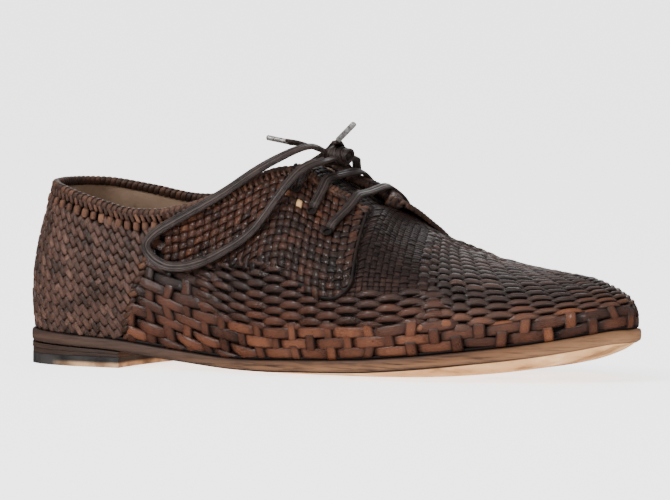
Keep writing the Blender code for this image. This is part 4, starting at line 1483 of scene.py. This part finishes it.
def makeFeatherShadeCord():
    walk = np.linspace(0, fullWalk + 0.5 * mm, featherShadeCord["points"])
    points = onWall(walk, featherShadeCord["up"], featherShadeCord["stand"])
    outs = onWall(walk, featherShadeCord["up"], featherShadeCord["stand"] + mm) - points
    bm = bmesh.new()
    sweep(bm, points, outs, featherShadeCord["width"], featherShadeCord["thick"], 1.0, 8)
    finishPiece("featherShadeCord", bm, [plainLeather("shadowedCord", upperWall["back"], 0.6)])


makeFeatherShadeCord()


# Quarter edges: a folded binding round the bottom, the front and the throat
binding = {
    "start": 172 * mm,
    "step": 1.6 * mm,
    "width": 1.5 * mm,
    "thick": 2.2 * mm,
    "stand": 0.9 * mm,
    # near-black: painted shade along the flap's edges
    "palette": ((10, 7, 6), (20, 13, 11), (34, 23, 18)),
    "braidPitch": 2.0 * mm,
    "braid": (
        {"down": 0.2, "angle": 0.75, "stand": 1.8},
        {"down": 2.4, "angle": -0.6, "stand": 1.8},
        {"down": -2.1, "angle": -0.75, "stand": 0.8},
    ),
    "braidTone": (0.34, 0.15),
    "roll": 1.5 * mm,
    "leaf": {"long": 2.1, "wide": 1.2, "round": 0.4, "high": 0.8},
    "wrap": {"turn": 1.9, "radius": 1.35, "high": 0.5, "half": 1.35, "slant": 0.9, "rim": 0.4, "tone": 0.34},
    "wrapPitch": 2.2 * mm,
}


def rolledEdge(edgeWalk, edgeUp):
    # the flap, carried on round a roll past its edge
    order = np.argsort(edgeWalk)

    def surface(walk, up, stand):
        edge = np.interp(walk, edgeWalk[order], edgeUp[order])
        inside = np.minimum(up, edge)
        base, under = onFlap(walk, inside, 0.0), onFlap(walk, inside - 0.5 * mm, 0.0)
        out = (onFlap(walk, inside - 0.5 * mm, mm) - under) / mm
        turn = (np.maximum(up - edge, 0) / binding["roll"])[..., None]
        away = (binding["roll"] + stand)[..., None]
        climb = unit(base - under)
        return base + climb * away * np.sin(turn) + out * (away * np.cos(turn) - binding["roll"])

    return surface


def bindEdge(bm, side):
    # round one flap; returns the wraps on its front edge where that is seen over the instep
    edge = flapStations(side, np.linspace(0, 1, 90))
    bottom, top = edge[edge > binding["start"]], edge[edge > collar["endStation"]][::-1]
    final = quarterFront(side)
    front = np.linspace(*quarterLow(final, side), 30)[1:-1]
    station = np.concatenate((bottom, np.full(len(front), final), top))
    rise = np.concatenate((quarterLow(bottom, side)[0], front, quarterLow(top, side)[1]))
    walk, up = walkAt(station, side), upTo(station, side, rise)
    base = onFlap(walk, up, binding["stand"])
    table = np.concatenate((base, onFlap(walk, up, binding["stand"] + mm) - base), axis=1)
    path = evenPath(table, binding["step"])
    sweep(bm, path[:, :3], path[:, 3:], binding["width"], binding["thick"], 0.8, 12)
    if side < 0:
        return []
    path = evenPath(table[len(bottom) - 4 : len(bottom) + 34], binding["wrapPitch"])
    return [layWraps(path[:, :3], path[:, 3:], binding["wrap"])]


def throatBraid(side):
    station = np.arange(collar["endStation"], float(quarterFront(side)) - 1 * mm, binding["braidPitch"])
    walk, up = walkAt(station, side), upTo(station, side, quarterLow(station, side)[1])
    for row in binding["braid"]:
        leaf = {**binding["leaf"], "angle": -side * row["angle"], "surface": rolledEdge(walk, up)}
        tone = tones(*binding["braidTone"], len(station))
        yield layKnobs(walk, up - row["down"] * mm, row["stand"] * mm, leaf, tone)


def makeBindings():
    bm = bmesh.new()
    braid = []
    for side in bothSides:
        braid += [*bindEdge(bm, side), *throatBraid(side)]
    joinStrips("throatBraid", braid, collarMaterial)
    material = plainLeather("edgeShadeBinding", binding["palette"], 0.5, 140, 1500, 0.3)
    finishPiece("quarterBindings", bm, [material])


makeBindings()


# Punched eyelets with a rim pressed round each hole and a near-black disc just inside it, painted shade in
# the hole
eyelet = {
    "rim": 0.55 * mm,
    "stand": 2.3 * mm,
    "overlap": 0.1 * mm,
    "sunk": 0.3 * mm,
    "palette": ((12, 8, 7), (24, 16, 13), (40, 27, 21)),
}


def addEyelet(bm, centre, axis):
    radius, rim = lace["eyeletRadius"], eyelet["rim"]
    across = axis.orthogonal().normalized()
    ring = []
    for turn in np.linspace(0, 2 * np.pi, 9)[:-1]:
        reach = across * (radius + math.cos(turn) * rim)
        ring.append(bm.verts.new(centre + reach + axis * math.sin(turn) * rim))
    edges = [bm.edges.new((ring[k - 1], ring[k])) for k in range(len(ring))]
    full = 2 * math.pi
    bmesh.ops.spin(bm, geom=ring + edges, cent=centre, axis=axis, steps=24, angle=full, use_merge=True)
    # a near-black disc just inside the hole: painted shade
    made = bmesh.ops.create_circle(bm, cap_ends=True, segments=24, radius=radius + eyelet["overlap"])
    facing = axis.to_track_quat("Z", "Y").to_matrix()
    bmesh.ops.rotate(bm, verts=made["verts"], cent=(0, 0, 0), matrix=facing)
    bmesh.ops.translate(bm, verts=made["verts"], vec=centre - axis * eyelet["sunk"])


def makeEyelets():
    bm = bmesh.new()
    for station, rise, _ in lace["eyelets"]:
        for side in bothSides:
            at, out = offSide(station * mm, side, rise, eyelet["stand"])
            addEyelet(bm, Vector(at + last["place"]), Vector(out))
    material = plainLeather("punchedEdge", eyelet["palette"], 0.6)
    finishPiece("eyelets", bm, [material], outward=False)


makeEyelets()
print("quarters bound and punched")


# Tongue: a padded leaf under the throat, woven as the vamp is
tongue = {
    "station": (134, 206),
    "half": (27, 20),
    "net": (49, 41),
    "grid": (60, 40),
    "sunk": 3.1 * mm,
    "leafSunk": 0.8 * mm,
    "bulge": 1.6 * mm,
    "thick": 1.6 * mm,
    "column": 3.2 * mm,
    "row": 3.0 * mm,
    "tone": (0.4, 0.12),
}


def tongueNet():
    lines = []
    for share in np.linspace(0, 1, tongue["net"][0]):
        station, half = (np.interp(share, (0, 1), tongue[key]) * mm for key in ("station", "half"))
        lines.append(archLine(station, np.linspace(-half, half, tongue["net"][1])))
    net = np.array(lines)
    return net, unit(np.cross(np.gradient(net, axis=0), np.gradient(net, axis=1)))


netPoints, netOuts = tongueNet()


def onTongue(along, across, stand):
    at = along * (tongue["net"][0] - 1), across * (tongue["net"][1] - 1)
    swell = tongue["bulge"] * np.clip(1 - ((2 * across - 1) / 0.5) ** 2, 0, 1)  # up in the open throat
    return between(netPoints, *at) + between(netOuts, *at) * (stand + swell)[..., None] + last["place"]


def makeTongue():
    low = -tongue["sunk"] - tongue["leafSunk"]
    bm = mappedGrid(*tongue["grid"], lambda along, across: onTongue(along, across, low))
    backing = plainLeather("tongueBacking", upperWall["lining"], 0.8, 50, 900, 0.4, 0.3)
    piece = finishPiece("tongueLeaf", bm, [backing], ("tongue",), outward=False)
    thicken(piece, tongue["thick"], -1)
    long, wide = (tongue["station"][1] - tongue["station"][0]) * mm, 2 * tongue["half"][0] * mm
    columns, rows = round(long / tongue["column"]), round(wide / tongue["row"])
    a, b = lattice((0, columns), (0, rows))
    cells = makeCells(a, b, (a + b) % 2, tones(*tongue["tone"], len(a)))
    style = {**vampWeave["style"], "stand": -tongue["sunk"] / mm - 0.3, "surface": onTongue}
    batches = [layStrips(cells, lambda a, b: ((a + 0.5) / columns, (b + 0.5) / rows), style)]
    joinStrips("tongueWeave", batches, vampMaterial)


makeTongue()
print("tongue woven")


# Sole: an outsole with a rounded edge and a dark line round its tread, a stacked heel and a worn top piece
soleStack = {
    "columns": 260,
    "profile": (  # inset from the edge in millimetres, height as a share of the thickness
        (3.0, 1.0), (1.5, 1.0), (0.8, 0.985), (0.3, 0.92), (0.08, 0.81), (0.0, 0.68), (0.0, 0.5),
        (0.04, 0.36), (0.16, 0.24), (0.36, 0.15), (0.62, 0.10), (1.25, 0.085), (1.4, 0.02), (2.2, 0.0),
    ),
    "under": (0.85, 0.7, 0.55, 0.4, 0.2, 0.0),
    "underMark": -0.3,
    "edge": (
        (0.0, (96, 66, 44)), (0.04, (30, 20, 15)), (0.11, (34, 23, 17)), (0.16, (96, 65, 44)),
        (0.35, (114, 79, 53)), (0.6, (100, 68, 46)), (0.85, (84, 57, 40)), (1.0, (46, 31, 23)),
    ),
    "heelEdge": (
        (0.0, (26, 18, 15)), (0.15, (54, 39, 32)), (0.5, (66, 48, 39)), (0.85, (56, 40, 33)),
        (1.0, (34, 24, 20)),
    ),
    "streak": (47, 33, 26),
    "paleToe": (172, 126, 88),
    "tread": ((140, 98, 60), (190, 145, 98), (212, 174, 128)),
    "heel": ((25, 18, 15), (47, 34, 28), (72, 54, 44)),
    "heelLayers": 2,
    "heelLength": 59 * mm,
    "heelInset": (0.45 * mm, 0.25 * mm),
    "heelRounding": 0.3 * mm,
    "breast": 2.5 * mm,
    "plateGrid": (40, 16),
    "topPiece": 4.7 * mm,
    "topInset": 0.35 * mm,
    "topRounding": 0.6 * mm,
    "rubber": ((22, 20, 20), (48, 45, 44)),
    "wornRubber": ((120, 88, 60), (178, 140, 104)),
    "gap": 0.15 * mm,
}


def acrossSole(station, side, share, inset):
    edges = [soleEdge(station, s, inset)[0] for s in bothSides]
    s = (side * share)[..., None]
    return edges[0] * (1 - s) / 2 + edges[1] * (1 + s) / 2


def edgeColour(tree, place, blotch, layers):
    height, along = attribute(tree, "layer"), axesOf(tree, place["Object"])["X"]
    level = maths(tree, "ADD", height, past(tree, blotch, 0.5, 0.03))
    pale, dark = (ramp(tree, level, soleStack[key]) for key in ("edge", "heelEdge"))
    colour = blendColour(tree, past(tree, along, -0.075, 12.0, True), dark, pale)  # pale from the waist on
    colour = blendColour(tree, past(tree, layers, 0.46, 4.5, True), colour, linear(soleStack["streak"]))
    toe = past(tree, along, 0.085, 14.0, True)
    paleToeMix = maths(tree, "MULTIPLY", toe, maths(tree, "MULTIPLY", blotch, 0.7))
    colour = blendColour(tree, paleToeMix, colour, linear(soleStack["paleToe"]))  # paler at the toe
    tread = ramp(tree, blotch, evenStops(soleStack["tread"], 0.3, 0.7))
    return blendColour(tree, maths(tree, "LESS_THAN", height, -0.01), colour, tread)


def soleLeather(name, layered):
    material, tree, shader, place = startMaterial(name, 0.5, 0.25)
    blotch = noise(tree, place["Object"], 55, 4)
    layers = noise(tree, stretched(tree, place["Object"], (60, 60, 900)), 1.0, 3, 0.6)
    grain = noise(tree, place["Object"], 1300, 2)
    if layered:
        colour = edgeColour(tree, place, blotch, layers)
    else:
        mixed = maths(tree, "MULTIPLY", maths(tree, "ADD", blotch, layers), 0.5)
        colour = ramp(tree, mixed, evenStops(soleStack["heel"], 0.3, 0.7))
    bumps = ((layers, 0.35, 0.0005), (grain, 0.3, 0.0002))
    surfaced(tree, shader, colour, scaled(tree, blotch, 0.5, 0.25), bumps)
    return material


def topPieceRubber():
    material, tree, shader, place = startMaterial("topPieceRubber", 0.55, 0.25)
    blotch = noise(tree, place["Object"], 90, 4)
    axes = axesOf(tree, place["Object"])
    stops = (evenStops(soleStack[key], 0.3, 0.7) for key in ("rubber", "wornRubber"))
    black, tan = (ramp(tree, blotch, pair) for pair in stops)
    low = past(tree, axes["Z"], 0.0026, -900.0, True)
    worn = maths(tree, "MULTIPLY", low, past(tree, axes["X"], -0.126, 70.0, True))
    worn = maths(tree, "MULTIPLY", worn, maths(tree, "ADD", blotch, 0.4), clamp=True)
    colour = blendColour(tree, worn, black, tan)
    grain = noise(tree, place["Object"], 700)
    surfaced(tree, shader, colour, scaled(tree, blotch, 0.4, 0.3), ((grain, 0.3, 0.0003),))
    return material


def makeOutsole():
    profile, columns = soleStack["profile"], soleStack["columns"]
    table = [(profile[0][0], 1.0, 0.0)] + [(*row, 1.0) for row in profile]  # inset, height, share across
    table += [(profile[-1][0], soleStack["underMark"], share) for share in soleStack["under"]]
    table = np.array(table)
    rows = len(table) - 1

    def place(around, down):
        inset, height, share = table[np.rint(down * rows).astype(int)].T
        outer = around <= 0.5
        station = roundStation(np.where(outer, 2 * around, 2 - 2 * around))
        plan = acrossSole(station, np.where(outer, lateral, medial), share, inset * mm)
        low = treadHeight(station, share)
        high = low + (seatHeight(station) - low) * np.maximum(height, 0)
        return np.concatenate((plan, high[:, None]), axis=1) + last["place"]

    bm = mappedGrid(columns, rows, place)
    mark = bm.verts.layers.float.new("layer")
    bm.verts.ensure_lookup_table()
    for k, v in enumerate(bm.verts):
        v[mark] = table[k // (columns + 1), 1]
    finishPiece("outsoleLayer", bm, [soleLeather("outsoleEdge", True)], ("outsole",))


def makePlate(name, under, over, inset, material, nodes, rounding):
    # one layer of the heel between the heights that under() and over() give at each station
    long, wide = soleStack["plateGrid"]
    stations = soleStack["heelLength"] * (1 - np.cos(np.pi / 2 * np.linspace(0, 1, long + 1)))
    shares = np.sin(np.pi / 2 * np.linspace(-1, 1, wide + 1))
    bm = bmesh.new()
    bmesh.ops.create_grid(bm, x_segments=long, y_segments=wide, size=0.5)
    low = bm.verts[:]
    station = np.array([stations[round((v.co.x + 0.5) * long)] for v in low])
    share = np.array([shares[round((v.co.y + 0.5) * wide)] for v in low])
    plan = acrossSole(station, medial, share, np.full(len(low), inset))
    breast = station >= soleStack["heelLength"] - 1e-9
    curved = station - soleStack["breast"] * (1 - share**2)
    plan[:, 0] = np.where(breast, curved, plan[:, 0])
    for v, (x, y), height in zip(low, plan, under(station)):
        v.co = Vector((x, y, height)) + Vector(last["place"])

    def spot(v):
        return tuple(np.round(v.co[:2], 7))

    heights = {spot(v): height for v, height in zip(low, over(station))}
    raised = bmesh.ops.extrude_face_region(bm, geom=bm.faces[:])["geom"]
    for v in raised:
        if isinstance(v, bmesh.types.BMVert):
            v.co.z = heights[spot(v)]
    piece = finishPiece(name, bm, [material], nodes)
    rim = piece.modifiers.new("rim", "BEVEL")
    rim.width = rounding
    rim.segments = 3
    rim.limit_method = "ANGLE"
    rim.angle_limit = math.radians(50)


def makeHeel():
    gap, low, layers = soleStack["gap"], soleStack["topPiece"], soleStack["heelLayers"]
    material = soleLeather("heelStack", False)

    def level(share, shift):
        return lambda station: low + (treadHeight(station, 0.0) - low) * share + shift

    for k, inset in enumerate(soleStack["heelInset"]):
        under, over = level(k / layers, gap / 2), level((k + 1) / layers, -gap / 2)
        nodes = ("heel_lift",) if k == 0 else ()
        makePlate(f"heelLayer{k + 1}", under, over, inset, material, nodes,
                  soleStack["heelRounding"])
    makePlate("topPiece", np.zeros_like, level(0.0, -gap / 2), soleStack["topInset"], topPieceRubber(),
              ("top_piece",), soleStack["topRounding"])


makeOutsole()
makeHeel()
print("sole and heel stacked")

sock = {"palette": ((104, 74, 48), (140, 104, 72), (166, 128, 92)), "rough": 0.6, "sheen": 0.2}
insoleMaterial = plainLeather("insoleSock", sock["palette"], sock["rough"], 38, 1100, 0.4, sock["sheen"])
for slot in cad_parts["insole"].material_slots:
    slot.material = insoleMaterial
